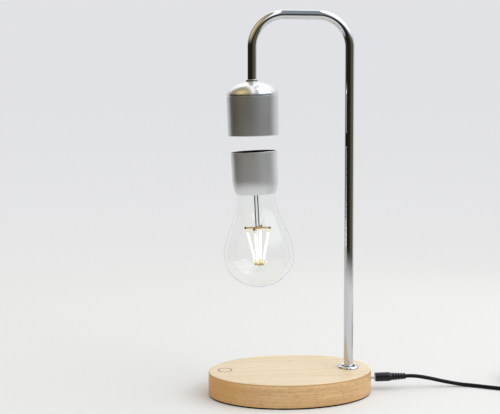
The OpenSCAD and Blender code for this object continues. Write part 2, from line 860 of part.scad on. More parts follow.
module glass_stem() {
    flare_r = neck_d / 2 - glass_t - fit;
    color("azure") in_bulb(0) rotate_extrude() polygon([
        [flare_r, -neck_top], [flare_r, -neck_top - flare_t], [stem_d / 2, -flare_end],
        [stem_d / 2, -spider_at - wire_d / 2], [stem_tip_d / 2, -spider_at - 2 * wire_d],
        [stem_tip_d / 2, -hub_at - wire_d / 2], [0, -hub_at - wire_d / 2], [0, 2 * flare_t - flare_end],
        [flare_r - flare_t, -neck_top]
    ]);
}

module filament_arms(r, hole) {
    difference() {
        union() {
            cylinder(d = hole + 2 * wire_d, h = wire_d, center = true);
            for (a = [0:90:270]) rotate([0, 0, a]) along_x(hole / 2, 0)
                cylinder(d = wire_d, h = r - hole / 2);
        }
        cylinder(d = hole, h = 4 * wire_d, center = true);
    }
}

module filament_spider() {
    color("goldenrod") in_bulb(spider_at) rotate([0, 0, spider_turn]) {
        filament_arms(spider_r, stem_d + 2 * fit);
        for (a = [0:90:270]) rotate([0, 0, a]) translate([spider_r, 0, 0]) sphere(d = bead_d);
    }
}

module filament_hub() {
    color("goldenrod") in_bulb(hub_at) rotate([0, 0, spider_turn])
        filament_arms(hub_r, stem_tip_d + 2 * fit);
}

// One filament from a spider's arm down to the hub, with a metal pin at each end
module led_filament(i) {
    lean_out = filament_top_r - filament_end_r;
    fall = filament_end - filament_top;
    color("lightyellow") in_bulb(filament_end) rotate([0, 0, spider_turn + 90 * (i - 1)])
        translate([filament_end_r, 0, 0]) rotate([0, atan2(lean_out, fall), 0]) {
            cylinder(d = terminal_d, h = norm([lean_out, fall]));
            rod(filament_d, terminal_l, norm([lean_out, fall]) - terminal_l);
        }
}

// Power lead
module plug_barrel() {
    color("silver") difference() {
        along_x(plug_x - barrel_l, jack_z) cylinder(d = barrel_d, h = barrel_l);
        along_x(plug_x - barrel_l - over, jack_z)
            cylinder(d = barrel_bore, h = barrel_l - barrel_end_t + over);
    }
}

module plug_body() {
    rib_step = (relief_l - plug_taper) / relief_ribs;
    color("black") along_x(plug_x, jack_z) {
        rotate_extrude() polygon([
            [0, 0], [plug_d / 2 - plug_bevel, 0], [plug_d / 2, plug_bevel], [plug_d / 2, plug_l],
            [relief_d / 2, plug_l + plug_taper], [relief_core_d / 2, plug_l + plug_taper],
            [relief_core_d / 2, plug_l + relief_l], [0, plug_l + relief_l]
        ]);
        for (i = [1:relief_ribs])
            translate([0, 0, plug_l + plug_taper + (i - 0.5) * rib_step])
                cylinder(d = relief_d, h = rib_step / 2);
    }
}

module power_cord() {
    color("black") translate([plug_end, 0, 0]) swept_tube(cord_points, cord_d, 8);
}

module cord_coil() {
    color("black") swept_tube(coil_line, cord_d, 6);
}

module cord_tie() {
    wide = coil_r - coil_inner_r + cord_d + 2 * tie_gap;
    high = (layers - 1) * coil_step + cord_d + 2 * tie_gap;
    color("dimgray") translate([coil_x, 0, 0]) rotate([0, 0, 90])
        translate([coil_inner_r - cord_d / 2 - tie_gap, -tie_w / 2, tie_t]) difference() {
            translate([-tie_t, 0, -tie_t]) cube([wide + 2 * tie_t, tie_w, high + 2 * tie_t]);
            translate([0, -over, 0]) cube([wide, tie_w + 2 * over, high]);
        }
}

module adapter_relief() {
    color("black") translate([0, adapter_y, 0]) along_x(adapter_x - adapter_relief_l, coil_top_z)
        cylinder(
            d1 = cord_d + 2 * relief_wall,
            d2 = cord_d + 2 * relief_wall + 2 * relief_flare,
            h = adapter_relief_l
        );
}

module adapter_body() {
    color("black") translate([adapter_x, adapter_y, 0]) linear_extrude(adapter_h) {
        translate([0, adapter_r - adapter_w / 2]) square([adapter_l, adapter_w - 2 * adapter_r]);
        translate([adapter_r, -adapter_w / 2]) square([adapter_l - 2 * adapter_r, adapter_w]);
        for (x = [adapter_r, adapter_l - adapter_r])
            for (y = [adapter_r - adapter_w / 2, adapter_w / 2 - adapter_r])
                translate([x, y]) circle(r = adapter_r);
    }
}

module adapter_pins() {
    color("silver") for (side = [-1, 1])
        translate([
            adapter_x + adapter_l / 2 + side * blade_apart / 2 - blade_t / 2,
            adapter_y + adapter_w / 2,
            (adapter_h - blade_w) / 2
        ]) cube([blade_t, blade_l, blade_w]);
}

wood_base();
touch_ring();
touch_pad();
touch_lead();
bottom_plate();
plate_screws();
for (i = [1:4]) rubber_foot(i);
control_board();
board_screws();
dc_jack();
jack_leads();
post_flange();
post_washer();
post_nut();
arm_tube();
head_cable();
head_collar();
head_dome();
head_nut();
head_shell();
head_board();
board_spacers();
magnet_yoke();
magnet_core();
coil_bobbin();
magnet_winding();
hall_sensor();
power_coil();
head_face();
float_magnet();
bulb_cap();
cap_lid();
magnet_cup();
receiver_coil();
bulb_board();
neck_cement();
glass_envelope();
glass_stem();
filament_spider();
filament_hub();
for (i = [1:4]) led_filament(i);
plug_barrel();
plug_body();
power_cord();
cord_coil();
cord_tie();
adapter_relief();
adapter_body();
adapter_pins();
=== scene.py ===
"""Looks of the levitating bulb lamp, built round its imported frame.

An oval wooden foot carries a bent chrome tube. The head at the tube's end holds a clear bulb
that floats below it, and a power lead plugs into the end of the foot. Every length is in
metres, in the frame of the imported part: +Z up, +X towards the post and the socket.
"""

import json
import logging
import math
from abc import ABC, abstractmethod
from dataclasses import dataclass, field
from enum import Enum
from typing import Callable, ClassVar, Protocol, Sequence, Union

import bpy
from bpy.types import Material, Node, NodeSocket, NodeTree, Object
from mathutils import Matrix, Vector


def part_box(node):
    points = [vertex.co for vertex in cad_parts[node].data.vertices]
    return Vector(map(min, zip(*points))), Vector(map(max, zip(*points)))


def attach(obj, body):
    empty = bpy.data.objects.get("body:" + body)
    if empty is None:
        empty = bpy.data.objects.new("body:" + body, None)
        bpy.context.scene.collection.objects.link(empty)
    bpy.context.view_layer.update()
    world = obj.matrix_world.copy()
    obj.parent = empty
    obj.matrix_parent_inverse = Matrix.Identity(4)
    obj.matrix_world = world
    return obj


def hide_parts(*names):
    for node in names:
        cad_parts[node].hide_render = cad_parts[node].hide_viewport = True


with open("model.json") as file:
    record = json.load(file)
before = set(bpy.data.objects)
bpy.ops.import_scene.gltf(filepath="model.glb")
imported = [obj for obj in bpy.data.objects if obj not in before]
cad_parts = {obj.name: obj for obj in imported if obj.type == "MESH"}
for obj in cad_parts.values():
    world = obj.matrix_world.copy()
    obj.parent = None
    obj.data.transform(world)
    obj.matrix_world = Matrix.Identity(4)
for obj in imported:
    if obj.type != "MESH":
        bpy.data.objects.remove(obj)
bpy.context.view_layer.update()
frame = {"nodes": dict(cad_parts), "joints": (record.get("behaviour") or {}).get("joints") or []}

log = logging.getLogger("lamp")

MM = 0.001
TINY = 1e-6
TURN_STEPS = 128
MID_TURN_STEPS = 64
SMALL_TURN_STEPS = 48
ROD_STEPS = 24
WIRE_STEPS = 16
ARC_STEPS = 6
SMALL_ARC_STEPS = 4
TINY_ARC_STEPS = 3
SMOOTH_ANGLE = math.radians(32)
FEET = 4

Point2 = tuple[float, float]
Point3 = tuple[float, float, float]
Corner = tuple[float, float, float]
Colour = tuple[float, float, float]
Range = tuple[float, float]
Value = Union[float, Sequence[float], NodeSocket]
Test = Callable[[Vector, Vector], bool]

UNIT: Range = (0.0, 1.0)
CLOUD_SPAN: Range = (0.3, 0.7)


class Body(Enum):
    """The bodies that new pieces ride on."""

    STAND = "stand"
    BULB = "bulb"
    LEAD = "power_lead"


class Slot(Enum):
    """The record's material slots. Each new piece is dressed with one, though nothing reads it."""

    WOOD = "wood"
    INLAY = "inlay"
    CHROME = "chrome"
    SATIN = "satin_metal"
    BLACK = "black_plastic"
    GLASS = "glass"
    BRASS = "brass"
    FILAMENT = "filament"
    PLATED = "plated_brass"
    JACKET = "cord_jacket"
    TIE = "tie"
    ADAPTER = "adapter_case"


class Element(Enum):
    """The parts of a mesh that can be picked."""

    EDGE = "EDGE"
    FACE = "FACE"


def joint(name: str) -> dict:
    """Returns the joint of that name, as the record states it."""
    return next(j for j in frame["joints"] if j["name"] == name)


def station(origin: Vector, axis: Vector) -> Matrix:
    """Makes the place of a piece that is modelled upright at the origin.

    Args:
        origin: Where the piece's own origin goes.
        axis: Where the piece's own +Z points.

    Returns:
        The matrix that carries the piece there, turned in the XZ plane only.
    """
    lean = math.atan2(axis.x, axis.z)
    return Matrix.Translation(origin) @ Matrix.Rotation(lean, 4, "Y")


def lying(origin: Point3) -> Matrix:
    """Returns the place of a piece that is modelled upright and lies along +X from a point."""
    return station(Vector(origin), Vector((1, 0, 0)))


def seat(node: str) -> Matrix:
    """Makes the place of a piece that stands where a node stands.

    Args:
        node: The frame's node.

    Returns:
        The matrix that carries the piece's origin to the middle of the node's underside.
    """
    low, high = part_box(node)
    middle = (low + high) / 2
    return Matrix.Translation((middle.x, middle.y, low.z))


def level(*heights: float) -> Test:
    """Returns a test for edges that lie at one of some heights."""
    return lambda a, b: any(max(abs(a.z - z), abs(b.z - z)) < TINY for z in heights)


def eased(share: float) -> float:
    """Returns a share from 0 to 1 with a soft start and a soft end."""
    return share * share * (3 - 2 * share)


def toned(colour: Colour, share: float, lift: float = 0.0) -> Colour:
    """Returns a colour times a share, raised by a lift."""
    return tuple(min(1.0, share * part + lift) for part in colour)


def softened(corners: Sequence[Corner], steps: int = ARC_STEPS) -> list[Point2]:
    """Rounds the corners of an outline.

    Args:
        corners: Radius, height and corner radius of each point.
        steps: Short straight lengths in each rounded corner.

    Returns:
        The outline's points, with an arc at each corner that has a radius.
    """
    points: list[Point2] = []
    for index, (r, z, round_r) in enumerate(corners):
        here = Vector((r, z))
        if round_r <= 0 or index in (0, len(corners) - 1):
            points.append((r, z))
            continue
        back = (Vector(corners[index - 1][:2]) - here).normalized()
        ahead = (Vector(corners[index + 1][:2]) - here).normalized()
        half = back.angle(ahead) / 2
        centre = here + (back + ahead).normalized() * (round_r / math.sin(half))
        start = here + back * (round_r / math.tan(half)) - centre
        end = here + ahead * (round_r / math.tan(half)) - centre
        sweep = start.angle_signed(end)
        for step in range(steps + 1):
            spoke = start.copy()
            spoke.rotate(Matrix.Rotation(-sweep * step / steps, 2))
            points.append(tuple(centre + spoke))
    return points


class Bench:
    """The modelling moves that the pieces share, made with Blender's own operators."""

    @staticmethod
    def clear() -> None:
        """Leaves edit mode and deselects everything."""
        if bpy.context.object and bpy.context.object.mode != "OBJECT":
            bpy.ops.object.mode_set(mode="OBJECT")
        bpy.ops.object.select_all(action="DESELECT")

    @staticmethod
    def only(piece: Object) -> None:
        """Selects one object and makes it active."""
        Bench.clear()
        piece.select_set(True)
        bpy.context.view_layer.objects.active = piece

    @staticmethod
    def named(name: str) -> Object:
        """Names the active object and its mesh, and returns the object."""
        piece = bpy.context.object
        piece.name = name
        piece.data.name = name
        return piece

    @staticmethod
    def settled(name: str) -> Object:
        """Names the active object and returns it, with its place and size kept in its mesh."""
        bpy.ops.object.transform_apply(location=True, rotation=True, scale=True)
        return Bench.named(name)

    @staticmethod
    def put(piece: Object, place: Matrix) -> Object:
        """Carries a piece from the origin to its place, keeps the place in its mesh and returns it."""
        Bench.only(piece)
        piece.matrix_world = place
        bpy.context.view_layer.update()
        return Bench.settled(piece.name)

    @staticmethod
    def edit() -> None:
        """Enters edit mode with everything selected."""
        bpy.ops.object.mode_set(mode="EDIT")
        bpy.ops.mesh.select_mode(type="VERT")
        bpy.ops.mesh.select_all(action="SELECT")

    @staticmethod
    def close() -> None:
        """Merges doubles, turns all faces outwards and leaves edit mode."""
        bpy.ops.mesh.select_all(action="SELECT")
        bpy.ops.mesh.remove_doubles(threshold=TINY)
        bpy.ops.mesh.normals_make_consistent(inside=False)
        bpy.ops.object.mode_set(mode="OBJECT")

    @staticmethod
    def extrude(way: Point3) -> None:
        """Draws the selected points on by a way, in edit mode."""
        bpy.ops.mesh.extrude_region_move(TRANSFORM_OT_translate={"value": way})

    @staticmethod
    def pick(piece: Object, element: Element, wanted: Test) -> None:
        """Enters edit mode with chosen edges or faces selected.

        Args:
            piece: The object.
            element: Edges or faces.
            wanted: Says of an edge's two ends, or of a face's middle and normal, whether it is
                wanted.
        """
        Bench.only(piece)
        bpy.ops.object.mode_set(mode="EDIT")
        bpy.ops.mesh.select_mode(type=element.value)
        bpy.ops.object.mode_set(mode="OBJECT")
        points = piece.data.vertices
        for point in points:
            point.select = False
        for edge in piece.data.edges:
            ends = (points[index].co for index in edge.vertices)
            edge.select = element is Element.EDGE and wanted(*ends)
        for face in piece.data.polygons:
            face.select = element is Element.FACE and wanted(face.center, face.normal)
        bpy.ops.object.mode_set(mode="EDIT")

    @staticmethod
    def bevel(piece: Object, wanted: Test, width: float, segments: int) -> None:
        """Rounds the wanted edges of a piece to a width, with some faces across the rounding."""
        Bench.pick(piece, Element.EDGE, wanted)
        bpy.ops.mesh.bevel(offset=width, segments=segments)

    @staticmethod
    def block(name: str, low: Vector, high: Vector) -> Object:
        """Returns a block between its lowest and its highest corner."""
        Bench.clear()
        bpy.ops.mesh.primitive_cube_add(size=1, location=(low + high) / 2, scale=high - low)
        return Bench.settled(name)

    @staticmethod
    def turned(name: str, outline: Sequence[Point2], steps: int = TURN_STEPS) -> Object:
        """Turns a piece on the Z axis, as on a lathe.

        Args:
            name: The piece's name.
            outline: Radius and height of each point. A ring's outline ends where it starts,
                and a solid's starts and ends on the axis.
            steps: Faces round the piece.

        Returns:
            The closed piece, upright at the origin.
        """
        Bench.clear()
        bpy.ops.mesh.primitive_plane_add(size=MM)
        piece = Bench.named(name)
        Bench.edit()
        bpy.ops.mesh.merge(type="CENTER")
        bpy.ops.transform.translate(value=(outline[0][0], 0, outline[0][1]))
        for (r0, z0), (r1, z1) in zip(outline, outline[1:]):
            Bench.extrude((r1 - r0, 0, z1 - z0))
        bpy.ops.mesh.select_all(action="SELECT")
        bpy.ops.mesh.spin(steps=steps, angle=math.tau, center=(0, 0, 0), axis=(0, 0, 1))
        Bench.close()
        return piece

    @staticmethod
    def lathed(name: str, outline: Sequence[Point2], place: Matrix, steps: int = TURN_STEPS) -> Object:
        """Turns a piece from its outline, puts it in its place, shades it smooth and returns it."""
        return Bench.smooth(Bench.put(Bench.turned(name, outline, steps), place))

    @staticmethod
    def rod(name: str, radius: float, start: Vector, end: Vector, round_r: float = 0.0,
            steps: int = ROD_STEPS) -> Object:
        """Makes a straight round rod between two points.

        Args:
            name: The rod's name.
            radius: The rod's radius.
            start: Middle of one end.
            end: Middle of the other end.
            round_r: Rounding of both ends.
            steps: Faces round the rod.

        Returns:
            The rod in its place.
        """
        length = (end - start).length
        corners = [(0, 0, 0), (radius, 0, round_r), (radius, length, round_r), (0, length, 0)]
        rod = Bench.turned(name, softened(corners, SMALL_ARC_STEPS), steps)
        turn = (end - start).to_track_quat("Z", "Y").to_matrix().to_4x4()
        return Bench.put(rod, Matrix.Translation(start) @ turn)

    @staticmethod
    def modified(piece: Object, kind: str, **settings: object) -> Object:
        """Applies a modifier to a piece.

        Args:
            piece: The piece.
            kind: The modifier's type.
            **settings: The modifier's settings.

        Returns:
            The piece.
        """
        Bench.only(piece)
        modifier = piece.modifiers.new(kind.lower(), kind)
        for name, value in settings.items():
            setattr(modifier, name, value)
        bpy.ops.object.modifier_apply(modifier=modifier.name)
        return piece

    @staticmethod
    def smooth(piece: Object) -> Object:
        """Shades a piece smooth and returns it, with its flats kept flat by face weights."""
        Bench.only(piece)
        bpy.ops.object.shade_smooth_by_angle(angle=SMOOTH_ANGLE)
        return Bench.modified(piece, "WEIGHTED_NORMAL", keep_sharp=True)

    @staticmethod
    def walled(piece: Object, thickness: float) -> Object:
        """Gives an open shape a wall, inwards from its surface, and returns it."""
        return Bench.modified(piece, "SOLIDIFY", thickness=thickness, offset=-1)

    @staticmethod
    def cut(piece: Object, cutter: Object) -> None:
        """Cuts a closed shape out of a piece and throws the shape away."""
        Bench.modified(piece, "BOOLEAN", operation="DIFFERENCE", solver="EXACT", object=cutter)
        bpy.data.objects.remove(cutter)

    @staticmethod
    def joined(name: str, pieces: Sequence[Object]) -> Object:
        """Joins several shapes into one piece.

        Args:
            name: The piece's name.
            pieces: The shapes.

        Returns:
            The joined piece.
        """
        Bench.clear()
        for piece in pieces:
            piece.select_set(True)
        bpy.context.view_layer.objects.active = pieces[0]
        bpy.ops.object.join()
        return Bench.named(name)


class NodeKit:
    """The node moves that materials and the world share."""

    def __init__(self, tree: NodeTree) -> None:
        """Takes up a node tree."""
        self.tree = tree

    def new(self, kind: str) -> Node:
        """Adds a shader node of a kind and returns it."""
        return self.tree.nodes.new(f"ShaderNode{kind}")

    def feed(self, socket: NodeSocket, value: Value) -> None:
        """Gives a socket its value.

        Args:
            socket: The socket.
            value: A constant, or another node's result. A colour has three parts.
        """
        if isinstance(value, NodeSocket):
            self.tree.links.new(value, socket)
        else:
            socket.default_value = (*value, 1.0) if socket.type == "RGBA" else value

    def spread(self, value: NodeSocket, span: Range, to: Range = UNIT) -> NodeSocket:
        """Maps a value from one range to another, smoothly and without overshoot.

        Args:
            value: The value.
            span: Where the range starts and ends.
            to: What its start and its end become.

        Returns:
            The mapped value.
        """
        spread = self.new("MapRange")
        spread.interpolation_type = "SMOOTHSTEP"
        names = ("From Min", "From Max", "To Min", "To Max", "Value")
        for name, part in zip(names, (*span, *to, value)):
            self.feed(spread.inputs[name], part)
        return spread.outputs["Result"]

    def mixed(self, factor: NodeSocket, first: Value, second: Value) -> NodeSocket:
        """Mixes two colours.

        Args:
            factor: 0 gives the first, 1 the second.
            first: A colour, or a socket that gives one.
            second: A colour, or a socket that gives one.

        Returns:
            The mixed colour.
        """
        mix = self.new("Mix")
        mix.data_type = "RGBA"
        # The colours go by number, because the node has other sockets with the same names.
        for index, value in ((0, factor), (6, first), (7, second)):
            self.feed(mix.inputs[index], value)
        return mix.outputs[2]

    def faded(self, value: NodeSocket, span: Range, first: Value, second: Value) -> NodeSocket:
        """Returns a colour that turns from the first into the second over a span of a value."""
        return self.mixed(self.spread(value, span), first, second)

    def computed(self, kind: str, operation: str, *values: Value) -> NodeSocket:
        """Works out a number.

        Args:
            kind: Math works on numbers, VectorMath on vectors.
            operation: What is worked out.
            *values: The numbers or vectors.

        Returns:
            The result.
        """
        node = self.new(kind)
        node.operation = operation
        for socket, value in zip(node.inputs, values):
            self.feed(socket, value)
        return node.outputs["Value"]


class Shader(NodeKit):
    """A material's nodes while they are put together, on Object coordinates."""

    def __init__(self, name: str) -> None:
        """Starts a material with one Principled surface.

        Args:
            name: The material's name.
        """
        self.material: Material = bpy.data.materials.new(name)
        self.material.use_nodes = True
        super().__init__(self.material.node_tree)
        self.surface: Node = self.tree.nodes["Principled BSDF"]
        self.coords: NodeSocket = self.new("TexCoord").outputs["Object"]

    def set(self, **values: Value) -> None:
        """Gives sockets of the surface, named with _ for a space, their values."""
        for name, value in values.items():
            self.feed(self.surface.inputs[name.replace("_", " ")], value)

    def noise(self, scale: Point3, detail: float) -> NodeSocket:
        """Gives a noise pattern between 0 and 1.

        Args:
            scale: Repeats a metre on X, Y and Z.
            detail: Octaves of the noise.

        Returns:
            The pattern's value.
        """
        mapping, noise = self.new("Mapping"), self.new("TexNoise")
        self.feed(mapping.inputs["Vector"], self.coords)
        self.feed(mapping.inputs["Scale"], scale)
        self.feed(noise.inputs["Vector"], mapping.outputs["Vector"])
        self.feed(noise.inputs["Scale"], 1.0)
        self.feed(noise.inputs["Detail"], detail)
        return noise.outputs["Fac"]

    def clouded(self, scale: float, tones: tuple[Colour, Colour], roughness: Range, detail: float) -> None:
        """Gives the surface cloudy patches of two tones.

        Args:
            scale: Patches a metre.
            tones: The two tones.
            roughness: The roughness of the first tone and of the second.
            detail: Octaves of the patches' noise.
        """
        cloud = self.noise((scale,) * 3, detail)
        self.set(Base_Color=self.mixed(cloud, *tones), Roughness=self.spread(cloud, CLOUD_SPAN, roughness))

    def reach(self, axis: str) -> NodeSocket:
        """Returns the Object coordinate on X, Y or Z, in metres."""
        parts = self.new("SeparateXYZ")
        self.feed(parts.inputs["Vector"], self.coords)
        return parts.outputs[axis]

    def bump(self, height: NodeSocket, depth: float, strength: float) -> None:
        """Gives the surface a relief.

        Args:
            height: The relief's pattern.
            depth: The relief's depth in metres.
            strength: The share of the relief that shows.
        """
        bump = self.new("Bump")
        self.feed(bump.inputs["Height"], height)
        self.feed(bump.inputs["Distance"], depth)
        self.feed(bump.inputs["Strength"], strength)
        self.set(Normal=bump.outputs["Normal"])


class Finish(Protocol):
    """A finish that can be made into a material."""

    def material(self) -> Material:
        """Returns the finish as a material."""


@dataclass(frozen=True)
class Layer:
    """A noise pattern in a finish: repeats a metre, octaves, the noise's range and the share it reaches."""

    scale: Point3
    detail: float
    span: Range
    share: float = 1.0

    def on(self, shader: Shader) -> NodeSocket:
        """Returns the pattern's value, from 0 to its share."""
        return shader.spread(shader.noise(self.scale, self.detail), self.span, (0.0, self.share))


@dataclass(frozen=True)
class MirrorChrome:
    """Bright plated metal with faint polishing marks."""

    name: str = "mirror_chrome"
    colour: Colour = (0.62, 0.63, 0.645)
    roughness: Range = (0.025, 0.06)
    marks: Point3 = (260.0, 260.0, 90.0)
    marks_span: Range = (0.35, 0.7)

    def material(self) -> Material:
        """Returns the finish as a material."""
        shader = Shader(self.name)
        dull = shader.spread(shader.noise(self.marks, detail=4.0), self.marks_span, self.roughness)
        shader.set(Base_Color=self.colour, Metallic=1.0, Roughness=dull)
        return shader.material


@dataclass(frozen=True)
class SatinMetal:
    """Metal with a fine satin coat, a little duller in places."""

    name: str
    colour: Colour
    roughness: Range
    duller: float = 0.96
    patches: float = 38.0
    grain: float = 2600.0
    relief: float = 0.00001

    def material(self) -> Material:
        """Returns the finish as a material."""
        shader = Shader(self.name)
        shader.set(Metallic=1.0)
        tones = (self.colour, toned(self.colour, self.duller))
        shader.clouded(self.patches, tones, self.roughness, detail=2.0)
        shader.bump(shader.noise((self.grain,) * 3, detail=1.0), self.relief, strength=0.35)
        return shader.material


@dataclass(frozen=True)
class PaleWood:
    """Oiled pale wood: long streaks, fine lines and short pores, deeper in tone on the edge, with painted
    warm shade on the edge towards its left end.
    """

    light: Colour = (0.835, 0.705, 0.50)
    streak: Colour = (0.72, 0.56, 0.36)
    edge_light: Colour = (0.73, 0.50, 0.25)
    edge_streak: Colour = (0.47, 0.265, 0.092)
    arris: Colour = (0.40, 0.22, 0.08)
    pore: Colour = (0.36, 0.20, 0.08)
    ruddy: Colour = (0.60, 0.345, 0.18)
    fleck: Colour = (0.40, 0.20, 0.085)
    left_end_shade: Colour = (0.58, 0.27, 0.06)
    lines: Layer = Layer((5.0, 620.0, 620.0), 5.0, (0.38, 0.66))
    bands: Layer = Layer((2.4, 75.0, 75.0), 4.0, (0.33, 0.68), 0.5)
    edge_lines: Layer = Layer((7.0, 26.0, 560.0), 5.0, (0.36, 0.66))
    edge_bands: Layer = Layer((4.0, 14.0, 130.0), 4.0, (0.33, 0.68), 0.5)
    mottle: Layer = Layer((34.0, 34.0, 150.0), 4.0, (0.42, 0.66), 0.55)
    flecks: Layer = Layer((230.0, 230.0, 1000.0), 2.0, (0.53, 0.66), 0.40)
    pores: Layer = Layer((120.0, 900.0, 1500.0), 2.0, (0.57, 0.70), 0.34)
    line_share: float = 0.45
    left_shade_x: Range = (-80.0 * MM, -25.0 * MM)
    left_shade_share: Range = (0.6, 0.0)
    arris_z: Range = (21.8 * MM, 22.8 * MM)
    arris_share: Range = (0.0, 0.4)
    top_z: Range = (23.0 * MM, 23.7 * MM)
    roughness: Range = (0.42, 0.56)
    relief: float = 0.00006

    def streaked(self, shader: Shader, lines: NodeSocket, bands: Layer, light: Colour,
                 dark: Colour) -> NodeSocket:
        """Returns broad bands and fine lines of a light and a dark tone, mixed."""
        grain = shader.computed("Math", "MULTIPLY_ADD", lines, self.line_share, bands.on(shader))
        return shader.mixed(grain, light, dark)

    def material(self) -> Material:
        """Returns the finish as a material."""
        shader = Shader("pale_wood")
        lines, height = self.lines.on(shader), shader.reach("Z")
        top = self.streaked(shader, lines, self.bands, self.light, self.streak)
        rows = self.edge_lines.on(shader)
        edge = self.streaked(shader, rows, self.edge_bands, self.edge_light, self.edge_streak)
        edge = shader.mixed(self.mottle.on(shader), edge, self.ruddy)
        edge = shader.mixed(self.flecks.on(shader), edge, self.fleck)
        # Painted shade: the edge turns darker and warmer towards the left end, where less light falls.
        left_shade = shader.spread(shader.reach("X"), self.left_shade_x, self.left_shade_share)
        edge = shader.mixed(left_shade, edge, self.left_end_shade)
        edge = shader.mixed(shader.spread(height, self.arris_z, self.arris_share), edge, self.arris)
        wood = shader.faded(height, self.top_z, edge, top)
        shader.set(Base_Color=shader.mixed(self.pores.on(shader), wood, self.pore),
                   Roughness=shader.spread(lines, UNIT, self.roughness),
                   Coat_Weight=0.06, Coat_Roughness=0.35, Specular_IOR_Level=0.35)
        shader.bump(lines, self.relief, strength=0.5)
        return shader.material


@dataclass(frozen=True)
class Moulded:
    """Moulded plastic or rubber with a fine grain."""

    name: str
    colour: Colour
    roughness: Range = (0.42, 0.58)
    grain: float = 1400.0
    relief: float = 0.00003
    gloss: float = 0.5
    index: float = 1.5
    # A glow above 0 paints light into a part that is no lamp.
    glow: float = 0.0
    paler: float = 1.35
    lift: float = 0.004
    patches: float = 60.0

    def material(self) -> Material:
        """Returns the finish as a material."""
        shader = Shader(self.name)
        shader.set(Specular_IOR_Level=self.gloss, IOR=self.index,
                   Emission_Color=self.colour, Emission_Strength=self.glow)
        tones = (self.colour, toned(self.colour, self.paler, self.lift))
        shader.clouded(self.patches, tones, self.roughness, detail=3.0)
        shader.bump(shader.noise((self.grain,) * 3, detail=2.0), self.relief, strength=0.5)
        return shader.material


@dataclass(frozen=True)
class PlainMetal:
    """Bare or plated metal with faint marks, for wires, screws and inner pieces."""

    name: str
    colour: Colour
    roughness: Range = (0.22, 0.4)
    darker: float = 0.72
    marks: float = 420.0

    def material(self) -> Material:
        """Returns the finish as a material."""
        shader = Shader(self.name)
        shader.set(Metallic=1.0)
        tones = (self.colour, toned(self.colour, self.darker))
        shader.clouded(self.marks, tones, self.roughness, detail=3.0)
        return shader.material


@dataclass(frozen=True)
class ClearGlass:
    """Clear blown glass with a slight cast and a faint waviness."""

    name: str
    colour: Colour = (0.985, 0.99, 0.983)
    index: float = 1.37
    wave: float = 0.00006
    waves: float = 40.0

    def material(self) -> Material:
        """Returns the finish as a material."""
        shader = Shader(self.name)
        shader.set(Base_Color=self.colour, Transmission_Weight=1.0, IOR=self.index, Roughness=0.0,
                   Specular_IOR_Level=0.08)
        shader.bump(shader.noise((self.waves,) * 3, detail=2.0), self.wave, strength=0.4)
        return shader.material


@dataclass(frozen=True)
class WarmGlow:
    """The lit phosphor of a filament, warmer in its chips."""

    base: Colour = (0.95, 0.85, 0.6)
    colour: Colour = (1.0, 0.91, 0.74)
    shade: Colour = (1.0, 0.84, 0.56)
    strength: float = 4.0
    chips: Layer = Layer((500.0, 500.0, 500.0), 1.0, (0.35, 0.7), 0.6)

    def material(self) -> Material:
        """Returns the finish as a material."""
        shader = Shader("warm_glow")
        glow = shader.mixed(self.chips.on(shader), self.colour, self.shade)
        shader.set(Base_Color=self.base, Roughness=0.5, Emission_Strength=self.strength, Emission_Color=glow)
        return shader.material


@dataclass(frozen=True)
class FilamentGlowHalo:
    """A see-through shell round a lit filament that glows a soft cream: a painted glow halo round the
    filament.
    """

    base: Colour = (0.95, 0.88, 0.66)
    colour: Colour = (1.0, 0.94, 0.76)
    shade: Colour = (1.0, 0.90, 0.66)
    strength: float = 1.3
    cover: float = 0.28
    cloud: float = 400.0

    def material(self) -> Material:
        """Returns the finish as a material."""
        shader = Shader("filament_glow_halo")
        glow = shader.mixed(shader.noise((self.cloud,) * 3, detail=1.0), self.colour, self.shade)
        shader.set(Base_Color=self.base, Roughness=0.5, Specular_IOR_Level=0.0, Alpha=self.cover,
                   Emission_Strength=self.strength, Emission_Color=glow)
        return shader.material


def prepared(finish: Finish) -> Material:
    """Returns a field that is filled with a finish's material."""
    return field(init=False, default_factory=finish.material)


